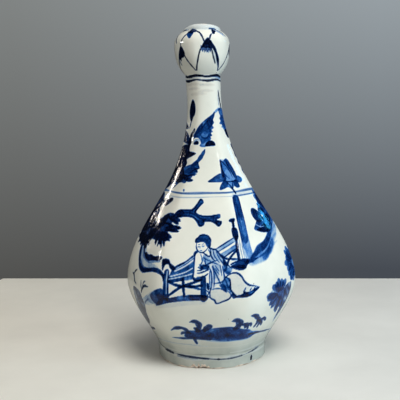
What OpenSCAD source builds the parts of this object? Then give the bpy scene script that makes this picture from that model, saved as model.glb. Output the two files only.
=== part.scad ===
// Garlic head vase in blue and white porcelain, six-sided, with a round foot.
// The body is made in sections that are luted edge to edge with slip.
// Millimetres, +Z up, origin at the centre of the foot's resting edge.

/* [Foot] */
// How much narrower the foot ring's outer wall is at its resting edge than under the body
foot_taper = 0.6; // [0:0.1:4]
// Height of the foot ring, up to the joint under the body
foot_h = 12; // [8:0.5:18]
// Width of the foot ring's flat resting edge
foot_edge_w = 4; // [2:0.5:6]
// Width of the foot ring's wall where the body is luted on
foot_wall = 9; // [7:0.5:12]
// Bevel turned on both sides of the resting edge
foot_bevel = 1.2; // [0.5:0.1:2]

/* [Body] */
// Radius over the ridges where the body meets the foot
base_r = 48.2; // [44:0.1:54]
// Outward slope of the wall where it leaves the foot
base_slope = 0.42; // [0.2:0.02:0.7]
// Radius over the ridges at the widest place
belly_r = 75.2; // [66:0.1:84]
// Height of the widest place, where the two halves are luted
belly_z = 68; // [58:0.5:78]
// Radius over the ridges at the shoulder joint
shoulder_r = 39.7; // [34:0.1:46]
// Height of the shoulder joint
shoulder_z = 147; // [137:0.5:157]
// Inward slope of the wall at the shoulder joint
shoulder_slope = 0.58; // [0.4:0.02:0.8]

/* [Neck] */
// Radius over the ridges at the slimmest place
neck_r = 14.8; // [13:0.1:18]
// Height of the slimmest place
neck_z = 228; // [215:0.5:238]
// Radius over the ridges at the collar, under the head
collar_r = 15.2; // [13.5:0.1:18]
// Height of the collar joint
collar_z = 248; // [244:0.5:252]

/* [Head] */
// Radius over the ridges at the head's widest place
head_r = 23.7; // [20:0.1:28]
// Height of the head's widest place
head_z = 273; // [268:0.5:276]
// Outward slope of the head where it leaves the collar
head_slope = 0.7; // [0.4:0.05:1]
// Height of the foot of the lip, where the head closes in
lip_z = 284.5; // [282:0.5:286]
// Radius of the lip's outer wall
lip_r = 15.4; // [14.5:0.1:17]
// Inward slope of the head where it reaches the lip
lip_slope = 1.6; // [1:0.1:2]
// Overall height of the vase, at the lip's crest
height = 290; // [288:0.5:296]
// How far the lip is rooted in the head's wall, below the foot of the lip
lip_root = 3; // [1:0.5:5]
// Radius of the mouth
mouth_r = 10.8; // [9.5:0.1:11.5]
// Turn of the head against the body about the upright axis, in degrees
head_turn = 16; // [0:1:30]

/* [Walls and facets] */
// Number of flat sides
sides = 6; // [6:2:8]
// Wall of the two body halves
body_wall = 5; // [3.5:0.1:6]
// Wall of the neck
neck_wall = 4; // [3:0.1:4.5]
// Wall of the head
head_wall = 4.2; // [3:0.1:5]
// Thickness of the floor
floor_t = 6; // [4:0.5:9]
// Distance to a flat side over the radius at the ridges, above the foot
base_flat_ratio = 0.985; // [0.97:0.005:0.99]
// The same ratio at the belly
belly_flat_ratio = 0.92; // [0.88:0.005:0.96]
// The same ratio at the shoulder joint
shoulder_flat_ratio = 0.885; // [0.88:0.005:0.96]
// The same ratio along the upper neck
neck_flat_ratio = 0.93; // [0.9:0.005:0.97]
// The same ratio at the head's widest place
head_flat_ratio = 0.925; // [0.9:0.005:0.97]

/* [Slip joints] */
// Thickness of the slip between two sections
slip_t = 0.6; // [0.4:0.1:1.5]
// How far the slip is squeezed out on the inside
slip_squeeze = 0.8; // [0.2:0.1:1.5]

/* [Hidden] */

$fn = 96;
rings = 16;          // profile steps of the round form between two joints
flat_rings = 13;     // profile steps of the flats, staggered against those of the round form
lip_rings = 8;       // profile steps round the lip's crest
round_ratio = 1.03;  // a ratio above 1 leaves the form round
past = 1;            // how far a cutting form runs past what it cuts
slip_half = slip_t / 2;
foot_r = base_r - foot_taper;
floor_z = foot_h + slip_half + floor_t;
glaze_white = [0.90, 0.91, 0.89];
foot_white = [0.86, 0.84, 0.79];
slip_buff = [0.80, 0.75, 0.66];

// Stations of the wall: height, radius over the ridges, slope, ratio of the flats
body_stations = [
    [foot_h, base_r, base_slope, base_flat_ratio],
    [belly_z, belly_r, 0, belly_flat_ratio],
    [shoulder_z, shoulder_r, -shoulder_slope, shoulder_flat_ratio],
    [neck_z, neck_r, 0, neck_flat_ratio],
    [collar_z, collar_r, 0, neck_flat_ratio],
];
head_stations = [
    [collar_z, collar_r, head_slope, neck_flat_ratio],
    [head_z, head_r, 0, head_flat_ratio],
    [lip_z, lip_r, -lip_slope, round_ratio],
];

// Cubic through two radii r0 and r1 with slopes m0 and m1 over the length l
function cubic(t, l, r0, r1, m0, m1) =
    r0 * (1 + 2 * t) * (1 - t) ^ 2 + l * m0 * t * (1 - t) ^ 2
    + r1 * t ^ 2 * (3 - 2 * t) + l * m1 * t ^ 2 * (t - 1);

function ease(t) = t ^ 2 * (3 - 2 * t);

// Index of the station below the height z
function below(st, z) = max([for (i = [0:len(st) - 2]) if (z >= st[i][0] || i == 0) i]);

function ridge_r(st, z) =
    let (i = below(st, z), a = st[i], b = st[i + 1], l = b[0] - a[0])
    cubic((z - a[0]) / l, l, a[1], b[1], a[2], b[2]);

function flat_r(st, z) =
    let (i = below(st, z), a = st[i], b = st[i + 1], t = (z - a[0]) / (b[0] - a[0]))
    ridge_r(st, z) * (a[3] + (b[3] - a[3]) * ease(t));

// Heights at which the wall between z0 and z1 is drawn
function heights(z0, z1, n) = [for (i = [0:n]) z0 + (z1 - z0) * i / n];

// Round form over the ridges from z0 to z1, run out by over at both ends
module round_form(st, z0, z1, inset, over) {
    rotate_extrude()
        polygon([
            [0, z0 - over],
            if (over > 0) [ridge_r(st, z0) - inset, z0 - over],
            for (z = heights(z0, z1, rings)) [ridge_r(st, z) - inset, z],
            if (over > 0) [ridge_r(st, z1) - inset, z1 + over],
            [0, z1 + over],
        ]);
}

// Long bar with two opposite flat sides, which follow the wall from z0 to z1
module flat_pair(st, z0, z1, inset, over) {
    side = [
        if (over > 0) [flat_r(st, z0) - inset, z0 - over],
        for (z = heights(z0, z1, flat_rings)) [flat_r(st, z) - inset, z],
        if (over > 0) [flat_r(st, z1) - inset, z1 + over],
    ];
    last = len(side) - 1;
    rotate([90, 0, 90])
        linear_extrude(height = 4 * belly_r, center = true)
            polygon([
                for (p = side) p,
                for (i = [0:last]) [-side[last - i][0], side[last - i][1]],
            ]);
}

// Six-sided form with rounded ridges, with two flats square to Y
module faceted_form(st, z0, z1, inset = 0, over = 0) {
    intersection() {
        round_form(st, z0, z1, inset, over);
        intersection_for (k = [0:sides / 2 - 1])
            rotate([0, 0, k * 360 / sides])
                flat_pair(st, z0, z1, inset, over);
    }
}

// Open section of wall between two joints
module wall_section(st, z0, z1, wall) {
    difference() {
        faceted_form(st, z0, z1);
        faceted_form(st, z0, z1, wall, past);
    }
}

// Outline of the wall across a joint: a circle over the ridges, cut by the flats
module joint_outline(st, z, inset = 0) {
    r = ridge_r(st, z) - inset;
    intersection() {
        circle(r);
        intersection_for (k = [0:sides / 2 - 1])
            rotate(k * 360 / sides)
                square([3 * r, 2 * (flat_r(st, z) - inset)], center = true);
    }
}

// Layer of slip at the joint height z, flush outside and squeezed out inside
module slip_layer(st, z, wall) {
    color(slip_buff)
        translate([0, 0, z - slip_half])
            linear_extrude(height = slip_t)
                difference() {
                    joint_outline(st, z);
                    joint_outline(st, z, wall + slip_squeeze);
                }
}

module foot_ring() {
    top_z = foot_h - slip_half;
    edge_out = foot_r - foot_bevel;
    edge_in = edge_out - foot_edge_w;
    color(foot_white)
        rotate_extrude()
            polygon([
                [edge_in, 0],
                [edge_out, 0],
                [foot_r, foot_bevel],
                [base_r, top_z],
                [base_r - foot_wall, top_z],
                [edge_in - foot_bevel, foot_bevel],
            ]);
}

module foot_slip() {
    color(slip_buff)
        rotate_extrude()
            translate([base_r - foot_wall - slip_squeeze, foot_h - slip_half])
                square([foot_wall + slip_squeeze, slip_t]);
}

// Bowl with a closed floor, which carries the foot ring
module lower_body() {
    bottom_z = foot_h + slip_half;
    top_z = belly_z - slip_half;
    color(glaze_white)
        difference() {
            faceted_form(body_stations, bottom_z, top_z);
            difference() {
                faceted_form(body_stations, bottom_z, top_z, body_wall, past);
                translate([0, 0, foot_h - past])
                    cylinder(r = belly_r, h = floor_z - foot_h + past);
            }
        }
}

module belly_slip() {
    slip_layer(body_stations, belly_z, body_wall);
}

module upper_body() {
    color(glaze_white)
        wall_section(body_stations, belly_z + slip_half, shoulder_z - slip_half, body_wall);
}

module shoulder_slip() {
    slip_layer(body_stations, shoulder_z, body_wall);
}

module neck() {
    color(glaze_white)
        wall_section(body_stations, shoulder_z + slip_half, collar_z - slip_half, neck_wall);
}

module collar_slip() {
    slip_layer(body_stations, collar_z, neck_wall);
}

// Rounded lip on top of the head, from its foot to its crest
module lip() {
    crest_r = (lip_r + mouth_r) / 2;
    half_w = (lip_r - mouth_r) / 2;
    rotate_extrude()
        polygon([
            [mouth_r, lip_z - lip_root],
            [lip_r, lip_z - lip_root],
            for (i = [0:lip_rings]) let (a = 180 * i / lip_rings)
                [crest_r + half_w * cos(a), height - half_w + half_w * sin(a)],
        ]);
}

// Bulb with rounded cloves, closed in at the top round the mouth
module garlic_head() {
    bottom_z = collar_z + slip_half;
    color(glaze_white)
        rotate([0, 0, head_turn])
            difference() {
                union() {
                    faceted_form(head_stations, bottom_z, lip_z);
                    lip();
                }
                faceted_form(head_stations, bottom_z, lip_z, head_wall, past);
                translate([0, 0, head_z])
                    cylinder(r = mouth_r, h = height - head_z + past);
            }
}

foot_ring();
foot_slip();
lower_body();
belly_slip();
upper_body();
shoulder_slip();
neck();
collar_slip();
garlic_head();
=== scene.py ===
"""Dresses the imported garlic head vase: painted porcelain sections, slip seams and a plain studio."""

import logging
import math
from collections.abc import Callable, Iterator
from dataclasses import dataclass
from enum import Enum

import bpy
import numpy as np
from mathutils import Matrix, Vector


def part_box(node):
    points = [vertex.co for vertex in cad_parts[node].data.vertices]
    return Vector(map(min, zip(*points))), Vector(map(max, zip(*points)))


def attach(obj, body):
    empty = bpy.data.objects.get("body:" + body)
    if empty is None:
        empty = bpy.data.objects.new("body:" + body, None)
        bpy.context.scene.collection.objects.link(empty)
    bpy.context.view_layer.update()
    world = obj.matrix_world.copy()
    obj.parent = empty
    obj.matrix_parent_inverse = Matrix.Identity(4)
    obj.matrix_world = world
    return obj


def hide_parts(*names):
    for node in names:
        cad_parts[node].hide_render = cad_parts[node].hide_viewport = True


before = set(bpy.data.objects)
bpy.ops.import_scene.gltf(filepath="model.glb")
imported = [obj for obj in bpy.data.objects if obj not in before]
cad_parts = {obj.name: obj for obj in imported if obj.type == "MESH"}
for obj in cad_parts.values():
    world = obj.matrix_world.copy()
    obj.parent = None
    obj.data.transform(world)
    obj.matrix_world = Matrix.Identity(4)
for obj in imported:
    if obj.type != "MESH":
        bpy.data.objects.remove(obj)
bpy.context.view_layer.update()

LOG = logging.getLogger("vase")
MM = 0.001
BODY = "root"
SEED = 11
SCATTER = (127.1, 311.7, 74.7, 43758.5453)

Pair = tuple[float, float]
Place = tuple[float, float, float]
Colour = tuple[float, float, float]
Ring = tuple[float, float, float]
Stops = tuple[tuple[float, Colour], ...]
Value = float | Colour | bpy.types.NodeSocket


class Ink(Enum):
    """How much cobalt the brush carries, from a watery wash to undiluted pigment."""

    MIST = 0.08
    PALE = 0.18
    SOFT = 0.32
    MID = 0.48
    DEEP = 0.64
    DARK = 0.82
    BLACK = 0.97


MIST, PALE, SOFT, MID, DEEP, DARK, BLACK = Ink


def ease(t: np.ndarray) -> np.ndarray:
    """Returns t, held to 0..1, with a soft start and a soft end."""
    t = np.clip(t, 0.0, 1.0)
    return t * t * (3.0 - 2.0 * t)


def cloud(x: np.ndarray, y: np.ndarray, seed: float) -> np.ndarray:
    """Smooth noise over a plane.

    Args:
        x: Places along the first axis, in cells of the noise.
        y: Places along the second axis, in cells of the noise.
        seed: Picks one of many patterns.

    Returns:
        Values from 0 to 1.
    """
    along, across, apart, many = SCATTER

    def corner(i: np.ndarray, j: np.ndarray) -> np.ndarray:
        """Returns the fixed random value of one cell corner."""
        return np.modf(np.abs(np.sin(i * along + j * across + seed * apart)) * many)[0]

    i, j = np.floor(x), np.floor(y)
    u, v = ease(x - i), ease(y - j)
    low = corner(i, j) * (1 - u) + corner(i + 1, j) * u
    high = corner(i, j + 1) * (1 - u) + corner(i + 1, j + 1) * u
    return low * (1 - v) + high * v


@dataclass
class VaseForm:
    """The outer wall as a function of azimuth and height, in degrees and millimetres.

    Azimuth 0 is the middle of the painted front side, and it grows to the right of one who faces it.
    A flat is the distance to a flat side over the radius at the ridges. The wall is set at stations,
    each with its height, radius over the ridges, slope below, slope above and flat.
    """

    sides: int = 6
    base_slope: float = 0.42
    base_flat: float = 0.985
    shoulder_slope: float = -0.58
    neck_height: float = 228.0
    neck_radius: float = 14.8
    neck_flat: float = 0.93
    head_slope: float = 0.95
    head_height: float = 273.0
    head_radius: float = 24.0
    head_flat: float = 0.925
    lip_height: float = 285.6
    lip_radius: float = 16.3
    lip_slope: float = -1.6
    mouth_radius: float = 10.8
    round_flat: float = 1.03
    head_turn: float = 16.0
    lean: float = 2.7
    lean_from: float = 160.0
    lean_to: float = 265.0
    ridge_hardness: float = 28.0
    neck_hardness: float = 16.0
    ridge_round: float = 3.0
    neck_round: float = 10.0
    fullness: float = 1.004
    flat_draw: float = 0.986
    side_bulge: float = 0.12
    waver: float = 0.22 / 75
    waves: tuple[tuple[int, float, float], ...] = ((2, 27.0, 1.0), (3, -19.0, 0.6), (7, 9.0, 0.3))

    def __post_init__(self) -> None:
        """Takes the joints' heights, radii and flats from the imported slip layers."""
        self.foot_z, self.foot_r, _ = self.joint("foot_slip")
        self.belly_z, belly_r, belly_flat = self.joint("belly_slip")
        self.shoulder_z, shoulder_r, shoulder_flat = self.joint("shoulder_slip")
        self.collar_z, collar_r, _ = self.joint("collar_slip")
        self.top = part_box("garlic_head")[1][2] / MM
        slope = self.shoulder_slope
        self.stations = np.array([
            (self.foot_z, self.foot_r, 0, self.base_slope, self.base_flat),
            (self.belly_z, belly_r, 0, 0, belly_flat),
            (self.shoulder_z, shoulder_r, slope, slope, shoulder_flat),
            (self.neck_height, self.neck_radius, 0, 0, self.neck_flat),
            (self.collar_z, collar_r, 0, self.head_slope, self.neck_flat),
            (self.head_height, self.head_radius, 0, 0, self.head_flat),
            (self.lip_height, self.lip_radius, self.lip_slope, 0, self.round_flat),
            (self.top, self.lip_radius, 0, 0, self.round_flat),
        ])

    @staticmethod
    def joint(node: str) -> Ring:
        """Returns the middle height, radius over the ridges and flat of a packed slip layer."""
        low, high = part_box(node)
        return (low[2] + high[2]) / 2 / MM, high[0] / MM, high[1] / high[0]

    def between(self, height: np.ndarray) -> tuple[np.ndarray, np.ndarray, np.ndarray]:
        """Finds the stations next to given heights.

        Args:
            height: Heights on the wall.

        Returns:
            The columns of the station below, those of the station above, and the share of the way up.
        """
        marks = self.stations[:, 0]
        index = np.clip(np.searchsorted(marks, height, side="right") - 1, 0, len(marks) - 2)
        share = np.clip((height - marks[index]) / (marks[index + 1] - marks[index]), 0.0, 1.0)
        return self.stations[index].T, self.stations[index + 1].T, share

    def ridge(self, height: np.ndarray) -> np.ndarray:
        """Draws the profile over the ridges.

        Args:
            height: Heights on the wall.

        Returns:
            The radius at each height.
        """
        (low, start, _, leaves, _), (high, end, arrives, _, _), t = self.between(height)
        first = start * (1 + 2 * t) * (1 - t) ** 2 + (high - low) * leaves * t * (1 - t) ** 2
        return first + (end * t * t * (3 - 2 * t) + (high - low) * arrives * t * t * (t - 1))

    def flat(self, height: np.ndarray) -> np.ndarray:
        """Returns the flat at each height."""
        below, above, t = self.between(height)
        return below[4] + (above[4] - below[4]) * ease(t)

    def ring(self, azimuth: np.ndarray, height: float, radius: float, flat: float) -> np.ndarray:
        """Draws the wall at one height.

        Args:
            azimuth: Azimuths of the points.
            height: Height of the ring.
            radius: Radius over the ridges.
            flat: Flat of the ring.

        Returns:
            The points, in metres, one row each.
        """
        half, drawn, angle = 180.0 / self.sides, flat * self.flat_draw, np.radians(azimuth)
        softer = float(ease((height - self.shoulder_z) / (self.neck_height - self.shoulder_z)))
        twist = self.head_turn * float(ease((height - self.shoulder_z) / (self.collar_z - self.shoulder_z)))
        hard = self.ridge_hardness + (self.neck_hardness - self.ridge_hardness) * softer
        soft = self.ridge_round + (self.neck_round - self.ridge_round) * softer
        from_ridge = (azimuth - twist) % (2 * half) - half
        off = np.radians(math.hypot(half, soft) - np.hypot(from_ridge, soft)) * (1 - self.side_bulge)
        side = radius * drawn / np.cos(off)
        corner = drawn / math.cos(math.radians(math.hypot(half, soft) - soft) * (1 - self.side_bulge))
        r = self.fullness * ((radius**-hard + side**-hard) / (1 + corner**-hard)) ** (-1 / hard)
        r *= 1 + self.waver * sum(s * np.sin(n * angle + height / rise) for n, rise, s in self.waves)
        leaned = self.lean * ease((height - self.lean_from) / (self.lean_to - self.lean_from))
        x, y = r * np.sin(angle) - leaned, -r * np.cos(angle)
        return np.stack([x, y, np.full_like(r, height)], axis=1) * MM

    def even_heights(self, low: float, high: float, rows: int) -> np.ndarray:
        """Spreads rows evenly along the wall.

        Args:
            low: Height of the first row.
            high: Height of the last row.
            rows: Number of rows.

        Returns:
            Their heights.
        """
        fine = np.linspace(low, high, 600)
        steps = np.hypot(np.diff(fine), np.diff(self.ridge(fine)))
        along = np.concatenate([[0.0], np.cumsum(steps)])
        return np.interp(np.linspace(0, along[-1], rows), along, fine)


def crowded_azimuths(count: int, crowding: float = 0.9, reach: float = 80.0) -> np.ndarray:
    """Spreads columns round the vase, closer together on the painted front.

    Args:
        count: Number of columns.
        crowding: How much closer they are at azimuth 0.
        reach: Width of the crowded stretch, in degrees.

    Returns:
        Azimuths in rising order, from -180 degrees up.
    """
    fine = np.linspace(-180, 180, 2881)
    weight = 1 + crowding * np.exp(-((fine / reach) ** 2))
    total = np.concatenate([[0.0], np.cumsum((weight[1:] + weight[:-1]) / 2)])
    return np.interp(np.arange(count) / count, total / total[-1], fine)


class Canvas:
    """The outer wall of one section as a painter sees it: a grid of heights and azimuths with ink on it.

    Its girth is the length round the wall over that of a circle over the ridges.
    """

    girth: float = 0.96

    def __init__(self, form: VaseForm, heights: np.ndarray, azimuths: np.ndarray) -> None:
        """Starts with bare clay.

        Args:
            form: The wall that the canvas lies on.
            heights: Heights of the rows.
            azimuths: Azimuths of the columns.
        """
        self.heights, self.azimuths = heights, azimuths
        ridge = form.ridge(heights)
        self.reach = np.radians(ridge) * self.girth
        self.climb = np.hypot(1.0, np.gradient(ridge, heights))
        self.ink = np.zeros((len(heights), len(azimuths)))
        self.grey = np.zeros_like(self.ink)

    @staticmethod
    def offsets(azimuths: np.ndarray, middle: float) -> np.ndarray:
        """Returns azimuths counted from a middle, between -180 and 180 degrees."""
        return (azimuths - middle + 180.0) % 360.0 - 180.0

    def near(self, path: np.ndarray, margin: float) -> "Patch | None":
        """Cuts out what lies near a path.

        Args:
            path: Points of azimuth and height.
            margin: Distance to keep round them, in millimetres.

        Returns:
            The patch, or None if the path misses this canvas.
        """
        low, high = path[:, 1].min() - margin, path[:, 1].max() + margin
        rows = np.flatnonzero((self.heights >= low) & (self.heights <= high))
        if rows.size == 0:
            return None
        left, right = path[:, 0].min(), path[:, 0].max()
        middle = (left + right) / 2
        half = (right - left) / 2 + margin / self.reach[rows].min()
        columns = np.flatnonzero(np.abs(self.offsets(self.azimuths, middle)) <= half)
        return Patch(self, rows, columns, middle) if columns.size else None


class Patch:
    """The part of a canvas that one stroke can reach."""

    fullest: float = 0.985
    far_off: float = -1e3

    def __init__(self, canvas: Canvas, rows: np.ndarray, columns: np.ndarray, middle: float = 0.0) -> None:
        """Cuts the patch out.

        Args:
            canvas: Canvas that it lies on.
            rows: Rows of the grid.
            columns: Columns of the grid.
            middle: Azimuth that the stroke is counted from.
        """
        self.canvas, self.block, self.middle = canvas, np.ix_(rows, columns), middle
        self.reach, self.climb = canvas.reach[rows][:, None], canvas.climb[rows][:, None]
        self.height, self.azimuth = canvas.heights[rows][:, None], canvas.azimuths[columns][None, :]
        self.turn = canvas.offsets(self.azimuth, middle)
        self.across = self.azimuth * self.reach

    def depth(self, path: np.ndarray, widths: np.ndarray) -> np.ndarray:
        """Measures how deep each grid point lies inside a stroke.

        Args:
            path: Points of azimuth and height along the stroke.
            widths: Half width of the stroke at each point.

        Returns:
            Depth in millimetres, negative outside the stroke.
        """
        u = self.turn * self.reach
        deepest = np.full(u.shape, self.far_off)
        for a, b, wide_a, wide_b in zip(path[:-1], path[1:], widths[:-1], widths[1:]):
            du, dv = (b[0] - a[0]) * self.reach, (b[1] - a[1]) * self.climb
            pu, pv = u - (a[0] - self.middle) * self.reach, (self.height - a[1]) * self.climb
            share = np.clip((pu * du + pv * dv) / (du * du + dv * dv + 1e-9), 0.0, 1.0)
            far = np.hypot(pu - share * du, pv - share * dv)
            deepest = np.maximum(deepest, wide_a + (wide_b - wide_a) * share - far)
        return deepest

    def inside(self, path: np.ndarray) -> np.ndarray:
        """Tests which grid points a closed path goes round.

        Args:
            path: Points of azimuth and height.

        Returns:
            True for each grid point inside.
        """
        within = np.zeros((self.height.size, self.turn.size), bool)
        for a, b in zip(path, np.roll(path, -1, axis=0)):
            if a[1] != b[1]:
                crosses = (self.height >= min(a[1], b[1])) & (self.height < max(a[1], b[1]))
                along = (self.height - a[1]) * (b[0] - a[0]) / (b[1] - a[1])
                within ^= crosses & (self.turn < a[0] - self.middle + along)
        return within

    def lay(self, cover: np.ndarray, grey: float) -> None:
        """Adds one layer of ink, which darkens what lies under it.

        Args:
            cover: Strength of the ink at each grid point.
            grey: How grey the ink fires, from 0 to 1.
        """
        canvas, cover = self.canvas, np.clip(cover, 0.0, self.fullest)
        ink = 1 - (1 - canvas.ink[self.block]) * (1 - cover)
        canvas.grey[self.block] += (grey - canvas.grey[self.block]) * cover / np.maximum(ink, 1e-6)
        canvas.ink[self.block] = ink

    def wipe(self, cover: np.ndarray) -> None:
        """Takes ink off again."""
        self.canvas.ink[self.block] *= 1 - cover


@dataclass
class Brush:
    """Paints lines, washes and leaves across all the canvases.

    A row of points gives azimuth and height by turns, in degrees and millimetres. Widths are in millimetres.
    """

    form: VaseForm
    canvases: list[Canvas]
    edge: float = 0.45
    grey: float = 0.0
    shift: float = 0.0
    flip: float = 1.0
    strokes: int = 0
    rim_width: float = 1.1
    shake: float = 0.12
    grain: Pair = (0.82, 0.3)
    grain_size: float = 2.3
    scratch_depth: float = 0.85
    fan_start: float = 0.25
    fan_width: Pair = (0.85, 1.15)
    fan_bend: Pair = (-0.12, 0.12)
    leaf_swell: tuple[tuple[float, ...], ...] = ((0, 0.3, 0.65, 0.85, 1), (0.35, 0.8, 1, 0.8, 0.2))

    def __post_init__(self) -> None:
        """Starts the fixed sequence of small differences between strokes."""
        self.rng = np.random.RandomState(SEED)

    def motifs(self, *motifs: Callable[[], None], shift: float = 0.0, mirror: bool = False) -> None:
        """Paints motifs in order, and rinses the brush after each.

        Args:
            motifs: Methods that paint one motif each.
            shift: Azimuth at which their azimuth 0 lands.
            mirror: Whether left and right are swapped.
        """
        self.shift, self.flip = shift, -1.0 if mirror else 1.0
        for motif in motifs:
            motif()
            self.edge, self.grey = Brush.edge, 0.0

    def smooth(self, at: tuple[float, ...], closed: bool = False, steps: int = 7) -> np.ndarray:
        """Draws an even curve through points.

        Args:
            at: Points that the curve passes.
            closed: Whether it returns to the first point.
            steps: Stretches between two points.

        Returns:
            Points of azimuth and height along the curve, placed on the vase.
        """
        p = np.array(at, float).reshape(-1, 2)
        p[:, 0] = p[:, 0] * self.flip + self.shift
        if len(p) == 2 and not closed:
            return p[0] + (p[1] - p[0]) * np.linspace(0, 1, steps + 1)[:, None]
        ends = (p[-1:], p[:2]) if closed else (2 * p[:1] - p[1:2], 2 * p[-1:] - p[-2:-1])
        q = np.concatenate([ends[0], p, ends[1]])
        t = (np.arange(steps) / steps)[:, None]
        spans = []
        for a, b, c, d in zip(q[:-3], q[1:-2], q[2:-1], q[3:]):
            bend = (2 * a - 5 * b + 4 * c - d) * t**2 + (3 * b - a - 3 * c + d) * t**3
            spans.append(b + ((c - a) * t + bend) / 2)
        return np.concatenate(spans if closed else [*spans, p[-1:]])

    def patches(self, path: np.ndarray, margin: float) -> Iterator[Patch]:
        """Returns what lies near a path on each canvas that it crosses."""
        return filter(None, (canvas.near(path, margin) for canvas in self.canvases))

    def stroke(self, ink: Ink, path: np.ndarray, widths: np.ndarray) -> None:
        """Lays one stroke, a little streaky along its length.

        Args:
            ink: How much cobalt it carries.
            path: Points of azimuth and height along it.
            widths: Its half width at each point.
        """
        self.strokes += 1
        least, more = self.grain
        for patch in self.patches(path, float(widths.max()) + self.edge):
            grain = cloud(patch.across / self.grain_size, patch.height / self.grain_size, self.strokes)
            cover = ease(patch.depth(path, widths) / self.edge + 0.5) * ink.value * (least + more * grain)
            patch.lay(cover, self.grey)

    def scratch(self, width: float, *at: float) -> None:
        """Scratches a fine light line into paint that has dried.

        Args:
            width: Width of the line.
            at: Points that it passes.
        """
        path = self.smooth(at)
        for patch in self.patches(path, width):
            depth = patch.depth(path, np.full(len(path), width / 2))
            patch.wipe(self.scratch_depth * ease(depth / self.edge + 0.5))

    def line(self, ink: Ink, width: float, *at: float, ends: Pair = (0.6, 0.3)) -> None:
        """Draws a line that is full in the middle and thins towards its ends.

        Args:
            ink: How much cobalt it carries.
            width: Width in the middle.
            at: Points that it passes.
            ends: Share of the width at the start and at the end.
        """
        path = self.smooth(at)
        t = np.linspace(0, 1, len(path))
        full = np.interp(t, [0, 0.3, 0.7, 1], [ends[0], 1, 1, ends[1]])
        shake = 1 + self.shake * np.sin(t * 17 + self.strokes * 2.4)
        self.stroke(ink, path, width / 2 * full * shake)

    def lines(self, ink: Ink, *rows: tuple[float, ...], ends: Pair = (0.6, 0.3)) -> None:
        """Draws lines that are alike, each given by its width and its points."""
        for width, *at in rows:
            self.line(ink, width, *at, ends=ends)

    def leaf(self, ink: Ink, width: float, *at: float, bend: float = 0.0) -> None:
        """Presses one leaf from its base to its tip.

        Args:
            ink: How much cobalt it carries.
            width: Width at the fullest place.
            at: Where the brush touches down, and where it lifts.
            bend: Sideways bow, as a share of the length.
        """
        base, low, tip, high = at
        reach = math.radians(float(self.form.ridge((low + high) / 2)))
        du, dv = (tip - base) * reach, high - low
        middle = (base + tip) / 2 - dv * bend / reach, (low + high) / 2 + du * bend
        path = self.smooth((base, low, *middle, tip, high))
        swell = np.interp(np.linspace(0, 1, len(path)), *self.leaf_swell)
        self.stroke(ink, path, width / 2 * swell)

    def fan(self, ink: Ink, width: float, *at: float) -> None:
        """Presses a bunch of leaves.

        Args:
            ink: How much cobalt they carry.
            width: Usual width of a leaf.
            at: Centre that they point away from, then the tip of each.
        """
        centre, *tips = np.reshape(at, (-1, 2))
        for tip in tips:
            base = centre + self.fan_start * (tip - centre)
            wide = width * self.rng.uniform(*self.fan_width)
            self.leaf(ink, wide, *base, *tip, bend=self.rng.uniform(*self.fan_bend))

    def wash(self, ink: Ink, *at: float, rim: float = 0.0, streak: float = 0.35) -> None:
        """Fills an outline with a pool of colour.

        Args:
            ink: How much cobalt it carries.
            at: Points of the outline.
            rim: How much darker the pool dries at its edge.
            streak: How uneven the pool is.
        """
        self.strokes += 1
        path = self.smooth(at, closed=True, steps=4)
        loop = np.concatenate([path, path[:1]])
        for patch in self.patches(path, 2 * self.edge):
            far = -patch.depth(loop, np.zeros(len(loop)))
            depth = np.where(patch.inside(path), far, -far)
            u, z = patch.across, patch.height
            broad = cloud(u / 5.5 + z / 9, z / 4.5, self.strokes)
            uneven = broad + 0.5 * cloud(u / 1.7, z / 2.4, self.strokes + 7)
            tone = ink.value * (1 + rim * np.exp(-np.maximum(depth, 0) / self.rim_width))
            cover = ease(depth / self.edge + 0.5) * tone * (1 + streak * (uneven - 0.85))
            patch.lay(cover, self.grey)

    def ring(
        self, ink: Ink, width: float, height: float, sway: float, gap: float, lobes: int = 0, peak: float = 0.0
    ) -> None:
        """Bands the vase all round on the wheel.

        Args:
            ink: How much cobalt the band carries.
            width: Width of the band.
            height: Height of its middle.
            sway: How far it wanders up and down.
            gap: How much it pales in places.
            lobes: Number of even waves round the vase, or 0 for a band that only wanders.
            peak: Azimuth of the top of a wave.
        """
        self.strokes += 1
        for canvas in self.canvases:
            rows = np.flatnonzero(np.abs(canvas.heights - height) < width + sway + 1)
            if rows.size == 0:
                continue
            patch = Patch(canvas, rows, np.arange(canvas.azimuths.size))
            angle, z = np.radians(patch.azimuth), patch.height
            drift = np.sin(3 * angle + self.strokes) * 0.6 + np.sin(5 * angle - 2 * self.strokes) * 0.4
            if lobes:
                drift = np.cos(lobes * (angle - math.radians(peak)))
            pale = 1 - gap * cloud(patch.azimuth / 14 + z * 0, z * 0, self.strokes)
            wide = width / 2 * (1 + 0.25 * np.sin(4 * angle + 1.7 * self.strokes))
            depth = wide - np.abs(z - height - sway * drift) * patch.climb
            patch.lay(ease(depth / self.edge + 0.5) * ink.value * pale, self.grey)


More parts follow.
